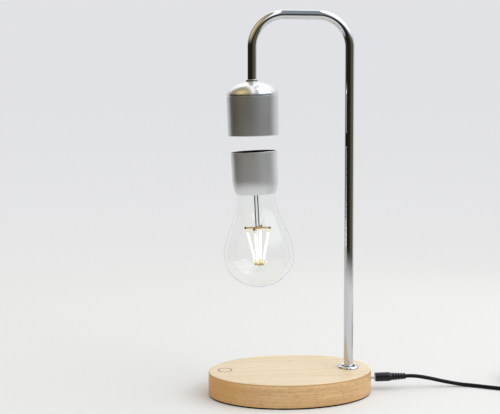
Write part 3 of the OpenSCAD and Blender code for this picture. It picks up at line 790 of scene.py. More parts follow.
@dataclass
class Finishes:
    """Every finish of the lamp, each made once."""

    chrome: Material = prepared(MirrorChrome())
    dome: Material = prepared(MirrorChrome("dome_chrome", (0.68, 0.685, 0.695), (0.24, 0.30)))
    can: Material = prepared(SatinMetal("satin_can", (0.70, 0.705, 0.72), (0.36, 0.39)))
    cap: Material = prepared(SatinMetal("satin_cap", (0.745, 0.75, 0.765), (0.40, 0.43)))
    wood: Material = prepared(PaleWood())
    inlay: Material = prepared(Moulded("dark_inlay", (0.16, 0.09, 0.05), (0.6, 0.75), gloss=0.15))
    black: Material = prepared(Moulded("black_plastic", (0.012, 0.012, 0.013)))
    # Matt black for the lid. It also gives the painted shade of the pad under the wood and of the ring in
    # the flange's recess.
    lid: Material = prepared(Moulded("matt_black", (0.004, 0.004, 0.004), (0.75, 0.9), index=1.0))
    rubber: Material = prepared(Moulded("foot_rubber", (0.015, 0.015, 0.015), (0.6, 0.8)))
    jacket: Material = prepared(Moulded("cord_jacket", (0.001, 0.0011, 0.0015), (0.36, 0.48), gloss=0.16))
    plug: Material = prepared(Moulded("plug_rubber", (0.001, 0.001, 0.002), (0.22, 0.30), gloss=0.36))
    adapter: Material = prepared(Moulded("adapter_case", (0.016, 0.016, 0.018), (0.45, 0.62), 2200.0))
    tie: Material = prepared(Moulded("soft_tie", (0.02, 0.02, 0.02), (0.7, 0.85)))
    board: Material = prepared(Moulded("green_board", (0.012, 0.10, 0.035), (0.25, 0.4)))
    pale_plastic: Material = prepared(Moulded("pale_plastic", (0.72, 0.69, 0.62)))
    wire: Material = prepared(Moulded("wire_sleeve", (0.30, 0.02, 0.02), (0.3, 0.45)))
    steel: Material = prepared(PlainMetal("plated_steel", (0.62, 0.62, 0.63)))
    copper: Material = prepared(PlainMetal("enamelled_copper", (0.66, 0.30, 0.14)))
    iron: Material = prepared(PlainMetal("soft_iron", (0.26, 0.26, 0.27), (0.45, 0.6)))
    brass: Material = prepared(PlainMetal("brass_wire", (0.66, 0.46, 0.15)))
    # Painted glow: the filament pins glow faintly though they are no lamp, standing in for the filaments'
    # light on them.
    end_cap: Material = prepared(Moulded("pale_gold_painted_glow", (0.86, 0.71, 0.34), (0.25, 0.4), glow=0.35))
    bead: Material = prepared(PlainMetal("dark_bead", (0.20, 0.16, 0.08), (0.35, 0.5)))
    plated: Material = prepared(PlainMetal("nickel_plate", (0.72, 0.72, 0.72), (0.16, 0.3)))
    lead_wire: Material = prepared(PlainMetal("lead_wire", (0.10, 0.095, 0.09), (0.35, 0.5)))
    glass: Material = prepared(ClearGlass("clear_glass"))
    stem: Material = prepared(ClearGlass("stem_glass", (0.93, 0.95, 0.94), 1.46, 0.0))
    glow: Material = prepared(WarmGlow())
    # Painted glow halo round the filaments.
    glow_halo: Material = prepared(FilamentGlowHalo())


class Sky(NodeKit):
    """The world's nodes, with directions as the camera sees them: X right, Y away, Z up."""

    def __init__(self, yaw: float) -> None:
        """Starts an empty world.

        Args:
            yaw: The camera's turn about Z, in radians.
        """
        world = bpy.data.worlds.new("studio")
        world.use_nodes = True
        bpy.context.scene.world = world
        super().__init__(world.node_tree)
        self.tree.nodes.clear()
        turned = self.new("Mapping")
        self.feed(turned.inputs["Vector"], self.new("TexCoord").outputs["Generated"])
        self.feed(turned.inputs["Rotation"], (0, 0, yaw))
        self.way: NodeSocket = turned.outputs["Vector"]

    def along(self, aim: Point3) -> NodeSocket:
        """Returns how far a direction goes along an aim, 1 where they agree."""
        return self.computed("VectorMath", "DOT_PRODUCT", self.way, Vector(aim).normalized())

    def show(self, backdrop: NodeSocket, soft: NodeSocket, mirrored: NodeSocket) -> None:
        """Shows each kind of ray its own surroundings.

        Args:
            backdrop: What the camera sees, also through glass.
            soft: The light on dull surfaces.
            mirrored: What shiny surfaces reflect.
        """
        path = self.new("LightPath").outputs
        clear = self.computed("Math", "MAXIMUM", path["Is Camera Ray"], path["Is Transmission Ray"])
        light = self.mixed(path["Is Glossy Ray"], soft, mirrored)
        background, out = self.new("Background"), self.new("OutputWorld")
        self.feed(background.inputs["Color"], self.mixed(clear, light, backdrop))
        self.feed(out.inputs["Surface"], background.outputs["Background"])


@dataclass(frozen=True)
class Room:
    """A pale backdrop, and the room that the metal shows: pale behind the lamp and dim in front.

    Each range says where, along its direction, one tone turns into the next.
    """

    sky_low: Colour = (0.835, 0.835, 0.81)
    sky_high: Colour = (0.755, 0.76, 0.785)
    sky_z: Range = (-0.30, 0.02)
    soft_left: Colour = (0.705, 0.68, 0.615)
    soft_right: Colour = (1.03, 1.06, 1.11)
    soft_x: Range = (-0.8, 0.8)
    wall: Colour = (0.82, 0.82, 0.83)
    wall_high: Colour = (1.55, 1.55, 1.56)
    wall_z: Range = (0.10, 0.80)
    wall_turn: float = 14.0
    wall_edge: Range = (0.28, 0.42)
    room_left: Colour = (0.022, 0.018, 0.009)
    room_right: Colour = (0.135, 0.130, 0.095)
    room_x: Range = (-0.10, 0.80)
    high_left: Colour = (0.43, 0.37, 0.235)
    high_right: Colour = (0.33, 0.365, 0.44)
    high_x: Range = (-0.15, 0.30)
    high_z: Range = (0.10, 0.36)
    warm: Colour = (1.0, 0.77, 0.40)
    warm_aim: Point3 = (-0.66, -0.42, 0.62)
    warm_edge: Range = (0.88, 0.98)
    strip: Colour = (1.75, 1.78, 1.82)
    strip_z: Range = (0.25, 0.50)
    strip_start: Range = (-0.20, -0.06)
    strip_end: Range = (0.02, 0.11)
    panel: Colour = (2.10, 2.28, 2.60)
    panel_z: Range = (0.22, 0.50)
    panel_edge: Range = (0.22, 0.48)
    window: Colour = (4.6, 4.8, 5.2)
    window_aim: Point3 = (0.49, -0.03, 0.865)
    window_edge: Range = (0.95, 0.975)

    def build(self, yaw: float) -> None:
        """Makes the world.

        Args:
            yaw: The camera's turn about Z, in radians.
        """
        sky = Sky(yaw)
        right, up = sky.along((1, 0, 0)), sky.along((0, 0, 1))
        beside = sky.along((math.cos(yaw), math.sin(yaw), 0))
        low = sky.faded(right, self.room_x, self.room_left, self.room_right)
        high = sky.faded(right, self.high_x, self.high_left, self.high_right)
        room = sky.faded(up, self.high_z, low, high)
        room = sky.faded(sky.along(self.warm_aim), self.warm_edge, room, self.warm)
        strip = sky.faded(up, self.strip_z, room, self.strip)
        strip = sky.faded(beside, self.strip_start, room, strip)
        room = sky.faded(beside, self.strip_end, strip, room)
        panel = sky.faded(up, self.panel_z, room, self.panel)
        room = sky.faded(beside, self.panel_edge, room, panel)
        room = sky.faded(sky.along(self.window_aim), self.window_edge, room, self.window)
        wall = sky.faded(up, self.wall_z, self.wall, self.wall_high)
        turn = math.radians(self.wall_turn)
        behind = sky.along((math.sin(turn), math.cos(turn), 0))
        sky.show(backdrop=sky.faded(up, self.sky_z, self.sky_low, self.sky_high),
                 soft=sky.faded(right, self.soft_x, self.soft_left, self.soft_right),
                 mirrored=sky.faded(behind, self.wall_edge, room, wall))


@dataclass
class Studio:
    """Camera, floor, soft light and the room round them."""

    camera_at: Point3 = (-0.1555, -0.9389, 0.2896)
    camera_yaw: float = 6.984
    camera_pitch: float = 2.589
    lens_mm: float = 69.12
    sensor_mm: float = 36.0
    shift_y: float = -0.12
    floor_half: float = 2.0
    floor_fade: Range = (0.50, 0.95)
    floor_colour: Colour = (0.79, 0.79, 0.78)
    box_size: Point2 = (2.2, 2.2)
    box_aim: Point3 = (0.0, 0.0, 0.2)
    box_azimuth: float = 72.0
    box_height: float = 47.0
    box_distance: float = 2.2
    box_power: float = 23.0
    box_colour: Colour = (0.97, 0.985, 1.0)
    room: Room = Room()

    def set_camera(self) -> None:
        """Makes the camera at the photograph's viewing angle."""
        data = bpy.data.cameras.new("camera")
        data.lens = self.lens_mm
        data.sensor_width = self.sensor_mm
        data.shift_y = self.shift_y
        data.dof.use_dof = False
        camera = bpy.data.objects.new("camera", data)
        camera.location = self.camera_at
        turn = (math.radians(90 - self.camera_pitch), 0, -math.radians(self.camera_yaw))
        camera.rotation_euler = turn
        bpy.context.scene.collection.objects.link(camera)
        bpy.context.scene.camera = camera

    def set_floor(self) -> None:
        """Makes a pale floor that fades into the background away from the lamp."""
        Bench.clear()
        bpy.ops.mesh.primitive_plane_add(size=2 * self.floor_half)
        floor = Bench.named("floor")
        shader = Shader("floor_paper")
        reach = shader.computed("VectorMath", "LENGTH", shader.coords)
        solid = shader.spread(reach, self.floor_fade, (1.0, 0.0))
        shader.set(Base_Color=self.floor_colour, Roughness=0.9, Specular_IOR_Level=0.0, Alpha=solid)
        floor.data.materials.append(shader.material)

    def set_lamp(self) -> None:
        """Hangs one large soft box to the right, above the camera, which metal doesn't show."""
        light = bpy.data.lights.new("soft_box", "AREA")
        light.shape = "RECTANGLE"
        light.size, light.size_y = self.box_size
        light.energy = self.box_power
        light.color = self.box_colour
        lamp = bpy.data.objects.new("soft_box", light)
        around = math.radians(self.box_azimuth - self.camera_yaw)
        up = math.radians(self.box_height)
        away = Vector((math.sin(around) * math.cos(up), -math.cos(around) * math.cos(up), math.sin(up)))
        lamp.location = Vector(self.box_aim) + away * self.box_distance
        lamp.rotation_mode = "QUATERNION"
        lamp.rotation_quaternion = away.to_track_quat("Z", "Y")
        lamp.visible_glossy = False
        bpy.context.scene.collection.objects.link(lamp)

    def light_up(self) -> None:
        """Makes the floor, the lamp and the world, with plain view settings."""
        bpy.context.scene.view_settings.view_transform = "Standard"
        self.set_floor()
        self.set_lamp()
        self.room.build(math.radians(self.camera_yaw))


@dataclass
class SubAssembly(ABC):
    """Pieces that ride on one body and are made and dressed together."""

    body: ClassVar[Body]
    finishes: Finishes

    @abstractmethod
    def build(self) -> None:
        """Makes and dresses the pieces."""

    def dress(self, piece: Object, finish: Material, slot: Slot, *nodes: str) -> Object:
        """Gives a new piece its finish and its place in the frame.

        Args:
            piece: The piece, in its place.
            finish: Its material.
            slot: The record's slot of its finish. Not used.
            *nodes: The frame's nodes that it stands for.

        Returns:
            The piece.
        """
        piece.data.materials.clear()
        piece.data.materials.append(finish)
        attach(piece, self.body.value)
        if nodes:
            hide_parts(*nodes)
        replaced = ", ".join(nodes) or "nothing"
        log.info("%s rides on %s and replaces %s", piece.name, self.body.value, replaced)
        return piece


@dataclass
class PowerLead(SubAssembly):
    """Plug, cord, put-away coil and mains adapter."""

    body: ClassVar[Body] = Body.LEAD
    # Cord and coil
    cord_r: float = 1.9 * MM
    cord_length: float = 1.26
    cord_detail: int = 5
    cord_reach: float = 140.0 * MM
    coil_r: float = 26.0 * MM
    coil_z: float = 3.0 * MM
    coil_step: float = 4.5 * MM
    climb_turn: float = 0.5
    layer_turns: int = 2
    layers: int = 4
    ring_points: int = 48
    # Plug, its strain relief and its barrel
    plug_l: float = 14.0 * MM
    plug_taper: float = 3.0 * MM
    nose_round: float = 0.6 * MM
    plug_round: float = 1.5 * MM
    sleeve_t: float = 0.5 * MM
    relief_r: float = 3.1 * MM
    relief_root_r: float = 3.8 * MM
    relief_ribs: int = 5
    rib_gap: float = 0.3
    rib_share: float = 0.6
    rib_edge: float = 0.25 * MM
    bore_r: float = 1.0 * MM
    bore_end: float = 1.5 * MM
    tip_round: float = 0.25 * MM
    bore_round: float = 0.15 * MM
    # Tie, and the adapter's case
    tie_t: float = 0.8 * MM
    tie_round: float = 1.6 * MM
    case_edge: float = 5.0 * MM
    case_round: float = 1.4 * MM
    seam_w: float = 0.35 * MM
    seam_shrink: Point3 = (0.985, 0.982, 1.0)
    # The adapter's strain relief. A rib's corners give the change of radius, the share of the
    # rib's step and the rounding.
    grip_t: float = 1.0 * MM
    grip_round: float = 0.4 * MM
    grip_ribs: int = 5
    grip_start: float = 0.1
    grip_rib: tuple[Corner, ...] = (
        (0.0, 0.55, 0.25 * MM), (-0.5 * MM, 0.6, 0.0), (-0.5 * MM, 0.95, 0.0), (0.3 * MM, 1.0, 0.0))
    # The adapter's blades
    blade_t: float = 1.5 * MM
    blade_round: float = 0.5 * MM
    eye_r: float = 1.6 * MM
    eye_at: float = 4.5 * MM
    # The plug's place, from the frame
    plug_x: float = field(init=False)
    plug_end: float = field(init=False)
    plug_z: float = field(init=False)
    plug_r: float = field(init=False)

    def __post_init__(self) -> None:
        """Takes the plug's place from the frame."""
        low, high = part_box("plug_body")
        self.plug_x, self.plug_end = low.x, high.x
        self.plug_z, self.plug_r = (low.z + high.z) / 2, (high.z - low.z) / 2

    def route(self) -> list[Vector]:
        """Returns the cord's way from the plug to the coil, set down in millimetres from the plug's end."""
        plug, lay, coil = self.plug_z / MM, self.cord_r / MM, self.coil_z / MM
        points = [
            (0, 0, plug), (5, 0, plug), (12, 0, 12.2), (20, 0, 10.8), (28, 0, 9), (36, 0, 7), (44, 0, 5.2),
            (52, -0.5, 3.6), (60, -1.5, 2.4), (67, -3.5, 2), (74, -7, lay), (81, -11, lay),
            (88, -15, lay), (95, -18.5, lay), (103, -21.5, lay), (111, -24, lay),
            (119, -25.5, coil - 0.4), (126, -26, coil), (133, -26, coil), (140, -26, coil),
        ]
        return [Vector((self.plug_end + x * MM, y * MM, z * MM)) for x, y, z in points]

    def coil_point(self, turn: float) -> Vector:
        """Finds a point of the coil, which spirals in and out and climbs where it turns back.

        Args:
            turn: How many turns along the coil.

        Returns:
            The point.
        """
        phase = turn % (2 * self.layer_turns)
        inward = phase if phase <= self.layer_turns else 2 * self.layer_turns - phase
        radius = self.coil_r - self.coil_step * inward
        climb = 0.0
        for layer in range(1, self.layers):
            share = (turn - layer * self.layer_turns) / self.climb_turn + 0.5
            climb += eased(min(1.0, max(0.0, share)))
        angle = math.tau * turn
        middle = self.plug_end + self.cord_reach + 2 * self.cord_r
        height = self.coil_z + self.coil_step * climb
        return Vector((middle + radius * math.sin(angle), -radius * math.cos(angle), height))

    @staticmethod
    def blended(a: Vector, b: Vector, c: Vector, d: Vector, t: float) -> Vector:
        """Finds a point on the smooth curve through four knots.

        Args:
            a: The knot before.
            b: The knot at the start.
            c: The knot at the end.
            d: The knot after.
            t: The share of the way from b to c.

        Returns:
            The point.
        """
        return 0.5 * (2 * b + (c - a) * t + (2 * a - 5 * b + 4 * c - d) * t**2
                      + (3 * b - a - 3 * c + d) * t**3)

    def centreline(self) -> list[Vector]:
        """Returns the cord's whole line, from the plug to the adapter's strain relief."""
        knots = self.route()
        line: list[Vector] = []
        for a, b, c, d in zip([knots[0], *knots], knots, knots[1:], [*knots[2:], knots[-1]]):
            line.extend(self.blended(a, b, c, d, t) for t in (0.0, 0.25, 0.5, 0.75))
        count = self.layers * self.layer_turns * self.ring_points
        line.extend(self.coil_point(i / self.ring_points) for i in range(count + 1))
        far = Vector((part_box("adapter_relief")[0].x, -self.coil_r, line[-1].z))
        return [*line, line[-1].lerp(far, 0.5), far]

    def build_cord(self) -> Object:
        """Returns the cord as one round curve."""
        line = self.centreline()
        curve = bpy.data.curves.new("power_cord_run", "CURVE")
        curve.dimensions = "3D"
        curve.bevel_depth = self.cord_r
        curve.bevel_resolution = self.cord_detail
        curve.use_fill_caps = True
        spline = curve.splines.new("POLY")
        spline.points.add(len(line) - 1)
        for knot, point in zip(spline.points, line):
            knot.co = (*point, 1.0)
        spline.use_smooth = True
        cord = bpy.data.objects.new("power_cord_run", curve)
        bpy.context.scene.collection.objects.link(cord)
        return cord

    def build_plug(self) -> Object:
        """Returns the moulded plug with its ribbed strain relief."""
        core, edge = self.cord_r + self.sleeve_t, self.rib_edge
        body_end = self.plug_l + self.plug_taper
        total = self.plug_end - self.plug_x
        step = (total - body_end) / self.relief_ribs
        corners: list[Corner] = [
            (0, 0, 0), (self.plug_r, 0, self.nose_round), (self.plug_r, self.plug_l, self.plug_round),
            (self.relief_root_r, body_end, edge), (core, body_end, 0),
        ]
        for rib in range(self.relief_ribs):
            taper = (self.relief_r - self.relief_root_r) * rib / (self.relief_ribs - 1)
            radius = self.relief_root_r + taper
            start = body_end + (rib + self.rib_gap) * step
            end = start + self.rib_share * step
            corners += [(core, start, 0), (radius, start, edge), (radius, end, edge), (core, end, 0)]
        corners += [(core, total, edge), (0, total, 0)]
        place = lying((self.plug_x, 0, self.plug_z))
        return Bench.lathed("plug_moulding", softened(corners, SMALL_ARC_STEPS), place, MID_TURN_STEPS)

    def build_barrel(self) -> Object:
        """Returns the plug's hollow metal barrel."""
        low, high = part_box("plug_barrel")
        radius, length = (high.z - low.z) / 2, high.x - low.x
        floor = length - self.bore_end
        outline = softened([
            (0, length, 0), (radius, length, 0), (radius, 0, self.tip_round),
            (self.bore_r, 0, self.bore_round), (self.bore_r, floor, 0), (0, floor, 0)], SMALL_ARC_STEPS)
        return Bench.lathed("plug_tip", outline, lying((low.x, 0, self.plug_z)), SMALL_TURN_STEPS)

    def build_tie(self) -> Object:
        """Returns the soft band round the coil, open along X."""
        low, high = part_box("cord_tie")
        tie = Bench.block("coil_tie", low, high)
        Bench.pick(tie, Element.FACE, lambda middle, normal: not low.x + TINY < middle.x < high.x - TINY)
        bpy.ops.mesh.delete(type="FACE")
        Bench.bevel(tie, lambda a, b: abs(a.x - b.x) > TINY, self.tie_round, segments=5)
        return Bench.smooth(Bench.walled(tie, self.tie_t))

    def build_case(self) -> Object:
        """Returns the adapter's rounded case, with a fine seam at half its height."""
        low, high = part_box("adapter_body")
        seam = (low.z + high.z) / 2
        case = Bench.block("adapter_case", low, high)
        Bench.edit()
        bpy.ops.mesh.bisect(plane_co=(0, 0, seam), plane_no=(0, 0, 1))
        Bench.bevel(case, lambda a, b: abs(a.z - b.z) > TINY, self.case_edge, segments=10)
        Bench.bevel(case, level(low.z, high.z), self.case_round, segments=5)
        Bench.bevel(case, level(seam), self.seam_w, segments=2)
        Bench.pick(case, Element.EDGE, level(seam))
        bpy.ops.transform.resize(value=self.seam_shrink, center_override=(low + high) / 2)
        return Bench.smooth(case)

    def build_relief(self) -> Object:
        """Returns the adapter's ribbed strain relief, wider towards the case."""
        low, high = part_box("adapter_relief")
        length, root = high.x - low.x, (high.z - low.z) / 2
        sleeve, step = self.cord_r + self.grip_t, length / self.grip_ribs
        corners: list[Corner] = [(0, 0, 0), (sleeve, 0, self.grip_round)]
        for rib in range(self.grip_ribs):
            radius = sleeve + (root - sleeve) * (rib / self.grip_ribs + self.grip_start)
            corners += [(radius + out, (rib + share) * step, edge) for out, share, edge in self.grip_rib]
        outline = softened([*corners, (0, length, 0)], TINY_ARC_STEPS)
        place = lying((low.x, (low.y + high.y) / 2, (low.z + high.z) / 2))
        return Bench.lathed("adapter_strain_relief", outline, place, SMALL_TURN_STEPS)

    def build_blades(self) -> Object:
        """Returns the adapter's two flat blades, each with a round hole."""
        low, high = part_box("adapter_pins")
        through = Vector((2 * self.blade_t, 0, 0))
        blades = []
        for x in (low.x, high.x - self.blade_t):
            start, end = Vector((x, low.y, low.z)), Vector((x + self.blade_t, high.y, high.z))
            blade = Bench.block("blade", start, end)
            Bench.bevel(blade, lambda a, b: min(a.y, b.y) > high.y - TINY and abs(a.x - b.x) < TINY,
                        self.blade_round, segments=3)
            eye = (start + end) / 2 + Vector((0, self.eye_at, 0))
            Bench.cut(blade, Bench.rod("eye", self.eye_r, eye - through, eye + through))
            blades.append(blade)
        return Bench.smooth(Bench.joined("adapter_blades", blades))

    def build(self) -> None:
        """Makes and dresses the whole lead, the cord first."""
        made = self.finishes
        cord = self.dress(self.build_cord(), made.jacket, Slot.JACKET, "power_cord", "cord_coil")
        plug = self.dress(self.build_plug(), made.plug, Slot.JACKET, "plug_body")
        tip = self.dress(self.build_barrel(), made.plated, Slot.PLATED, "plug_barrel")
        tie = self.dress(self.build_tie(), made.tie, Slot.TIE, "cord_tie")
        case = self.dress(self.build_case(), made.adapter, Slot.ADAPTER, "adapter_body")
        relief = self.dress(self.build_relief(), made.jacket, Slot.JACKET, "adapter_relief")
        blades = self.dress(self.build_blades(), made.plated, Slot.PLATED, "adapter_pins")


@dataclass
class WoodFoot(SubAssembly):
    """Oval wooden foot with its touch ring, and a matt black pad under it as painted shadow in the gap under
    the wood.
    """

    body: ClassVar[Body] = Body.STAND
    oval_points: int = 256
    edge_r: float = 1.4 * MM
    low_edge: float = 0.5 * MM
    wall: float = 12.0 * MM
    lip: float = 5.0 * MM
    plate_t: float = 2.0 * MM
    skin: float = 6.0 * MM
    fit: float = 0.15 * MM
    overcut: float = 1.0 * MM
    hole_over: float = 3.0 * MM
    ring_line: float = 0.8 * MM
    ring_edge: float = 0.1 * MM
    groove_h: float = 2.0 * MM
    pad_inset: float = 1.0 * MM
    pad_low: float = 0.1 * MM
    pad_gap: float = 0.02 * MM
    pad_edge: float = 0.2 * MM
    foot_gap: float = 0.6 * MM
    foot_hole_z: Range = (-3.0 * MM, 5.0 * MM)

    def oval(self, name: str, inset: float, low: float, high: float) -> Object:
        """Makes an upright oval block in line with the wood.

        Args:
            name: The block's name.
            inset: How far its side lies inside the wood's.
            low: Its lower height.
            high: Its upper height.

        Returns:
            The block.
        """
        start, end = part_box("wood_base")
        half = (end - start) / 2
        Bench.clear()
        bpy.ops.mesh.primitive_cylinder_add(
            vertices=self.oval_points, radius=1.0, depth=high - low, location=(0, 0, (low + high) / 2),
            scale=(half.x - inset, half.y - inset, 1.0))
        return Bench.settled(name)

    def build_block(self) -> Object:
        """Returns the wood, with its rounded edges, its hollow and its holes."""
        low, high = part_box("wood_base")
        block = self.oval("wood_block", 0, low.z, high.z)
        Bench.bevel(block, level(high.z), self.edge_r, segments=5)
        Bench.bevel(block, level(low.z), self.low_edge, segments=2)
        Bench.cut(block, self.oval("hollow", self.wall, low.z - self.overcut, high.z - self.skin))
        Bench.cut(block, self.oval("ledge", self.lip, low.z - self.overcut, low.z + self.plate_t))
        ring_low, ring_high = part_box("touch_ring")
        outer = (ring_high.x - ring_low.x) / 2 + self.fit
        inner = outer - self.ring_line - 2 * self.fit
        top = self.groove_h
        groove = Bench.turned("groove", [(outer, 0), (outer, top), (inner, top), (inner, 0), (outer, 0)])
        Bench.cut(block, Bench.put(groove, seat("touch_ring")))
        jack_low, jack_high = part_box("dc_jack")
        jack_z, jack_r = (jack_low.z + jack_high.z) / 2, (jack_high.z - jack_low.z) / 2
        Bench.cut(block, Bench.rod(
            "jack_hole", jack_r + self.fit, Vector((jack_low.x - self.hole_over, 0, jack_z)),
            Vector((high.x + self.hole_over, 0, jack_z)), steps=MID_TURN_STEPS))
        return Bench.smooth(block)

    def build_ring(self) -> Object:
        """Returns the touch ring, flush in its groove."""
        low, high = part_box("touch_ring")
        outer, height = (high.x - low.x) / 2, high.z - low.z
        inner = outer - self.ring_line
        outline = softened([
            (inner, 0, 0), (outer, 0, 0), (outer, height, self.ring_edge), (inner, height, self.ring_edge),
            (inner, 0, 0)], TINY_ARC_STEPS)
        return Bench.lathed("touch_inlay", outline, seat("touch_ring"))

    def build_shadow_gap_pad(self) -> Object:
        """Returns a matt black pad under the wood, a painted shadow for the gap under its edge, with a hole
        for each rubber foot.
        """
        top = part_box("wood_base")[0].z - self.pad_gap
        pad = self.oval("shadow_gap_pad", self.pad_inset, self.pad_low, top)
        Bench.bevel(pad, level(self.pad_low), self.pad_edge, segments=2)
        for index in range(1, FEET + 1):
            low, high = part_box(f"rubber_foot_{index}")
            middle, radius = (low + high) / 2, (high.x - low.x) / 2
            start, end = (Vector((middle.x, middle.y, z)) for z in self.foot_hole_z)
            hole = Bench.rod("foot_hole", radius + self.foot_gap, start, end, steps=MID_TURN_STEPS)
            Bench.cut(pad, hole)
        return Bench.smooth(pad)

    def build(self) -> None:
        """Makes and dresses the foot's pieces."""
        # Painted shadow: a dark sheet where the gap under the wood is only in shadow.
        self.dress(self.build_shadow_gap_pad(), self.finishes.lid, Slot.BLACK)
        self.dress(self.build_block(), self.finishes.wood, Slot.WOOD, "wood_base")
        self.dress(self.build_ring(), self.finishes.inlay, Slot.INLAY, "touch_ring")


@dataclass
class BentArm(SubAssembly):
    """The bent chrome tube, and the flange at the tube's foot with a matt black ring in its recess as
    painted shade.
    """

    body: ClassVar[Body] = Body.STAND
    tube_r: float = 4.75 * MM
    tube_t: float = 1.0 * MM
    bend_r: float = 32.0 * MM
    round_points: int = 64
    bend_steps: int = 32
    tuck: float = 4.0 * MM
    fit: float = 0.15 * MM
    recess_r: float = 6.5 * MM
    recess_h: float = 0.2
    crown_steps: int = 20
    recess_shade_gap: float = 0.05 * MM
    recess_shade_fit: float = 0.1 * MM
    recess_shade_h: Range = (0.45, 0.6)
    recess_shade_edge: float = 0.2 * MM

    def bend(self, x: float, z: float) -> None:
        """Draws the selected ring a quarter turn round a point in the XZ plane, in edit mode."""
        bpy.ops.mesh.spin(steps=self.bend_steps, angle=math.pi / 2, axis=(0, 1, 0), center=(x, 0, z))

    def build_tube(self) -> Object:
        """Returns the tube, drawn up the post, round both bends and down into the head."""
        low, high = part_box("arm_tube")
        post_x, drop_x = high.x - self.tube_r, low.x + self.tube_r
        bend_z = high.z - self.tube_r - self.bend_r
        drop_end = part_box("head_dome")[1].z - self.tuck
        Bench.clear()
        bpy.ops.mesh.primitive_circle_add(
            vertices=self.round_points, radius=self.tube_r, location=(post_x, 0, low.z))
        tube = Bench.settled("bent_tube")
        Bench.edit()
        Bench.extrude((0, 0, bend_z - low.z))
        self.bend(post_x - self.bend_r, bend_z)
        Bench.extrude((drop_x - post_x + 2 * self.bend_r, 0, 0))
        self.bend(drop_x + self.bend_r, bend_z)
        Bench.extrude((0, 0, drop_end - bend_z))
        Bench.close()
        return Bench.smooth(Bench.walled(tube, self.tube_t))

    def build_flange(self) -> Object:
        """Returns the flange: a rounded ring with a recess round the tube."""
        low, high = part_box("post_flange")
        outer, height = (high.x - low.x) / 2, high.z - low.z
        lip, hole, floor = (outer - self.recess_r) / 2, self.tube_r + self.fit, self.recess_h * height
        turns = (math.pi * i / self.crown_steps for i in range(self.crown_steps))
        crown = [(self.recess_r + lip + lip * math.cos(a), height * math.sin(a)) for a in turns]
        outline = [(hole, 0), *crown, (self.recess_r, floor), (hole, floor), (hole, 0)]
        return Bench.lathed("post_rosette", outline, seat("post_flange"))

    def build_recess_shade(self) -> Object:
        """Returns a matt black ring in the flange's recess, painted shade for the recess round the tube."""
        low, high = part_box("post_flange")
        outer, hole = self.recess_r - self.recess_shade_gap, self.tube_r + self.recess_shade_fit
        floor, side, top = ((high.z - low.z) * share for share in (self.recess_h, *self.recess_shade_h))
        outline = softened([
            (hole, floor, 0), (outer, floor, 0), (outer, side, self.recess_shade_edge),
            (hole, top, self.recess_shade_edge), (hole, floor, 0)])
        return Bench.lathed("post_recess_shade", outline, seat("post_flange"))

    def build(self) -> None:
        """Makes and dresses the arm's pieces."""
        # Painted shade: a dark ring where the flange's recess is only in shade.
        self.dress(self.build_recess_shade(), self.finishes.lid, Slot.BLACK)
        self.dress(self.build_tube(), self.finishes.chrome, Slot.CHROME, "arm_tube")
        self.dress(self.build_flange(), self.finishes.chrome, Slot.CHROME, "post_flange")


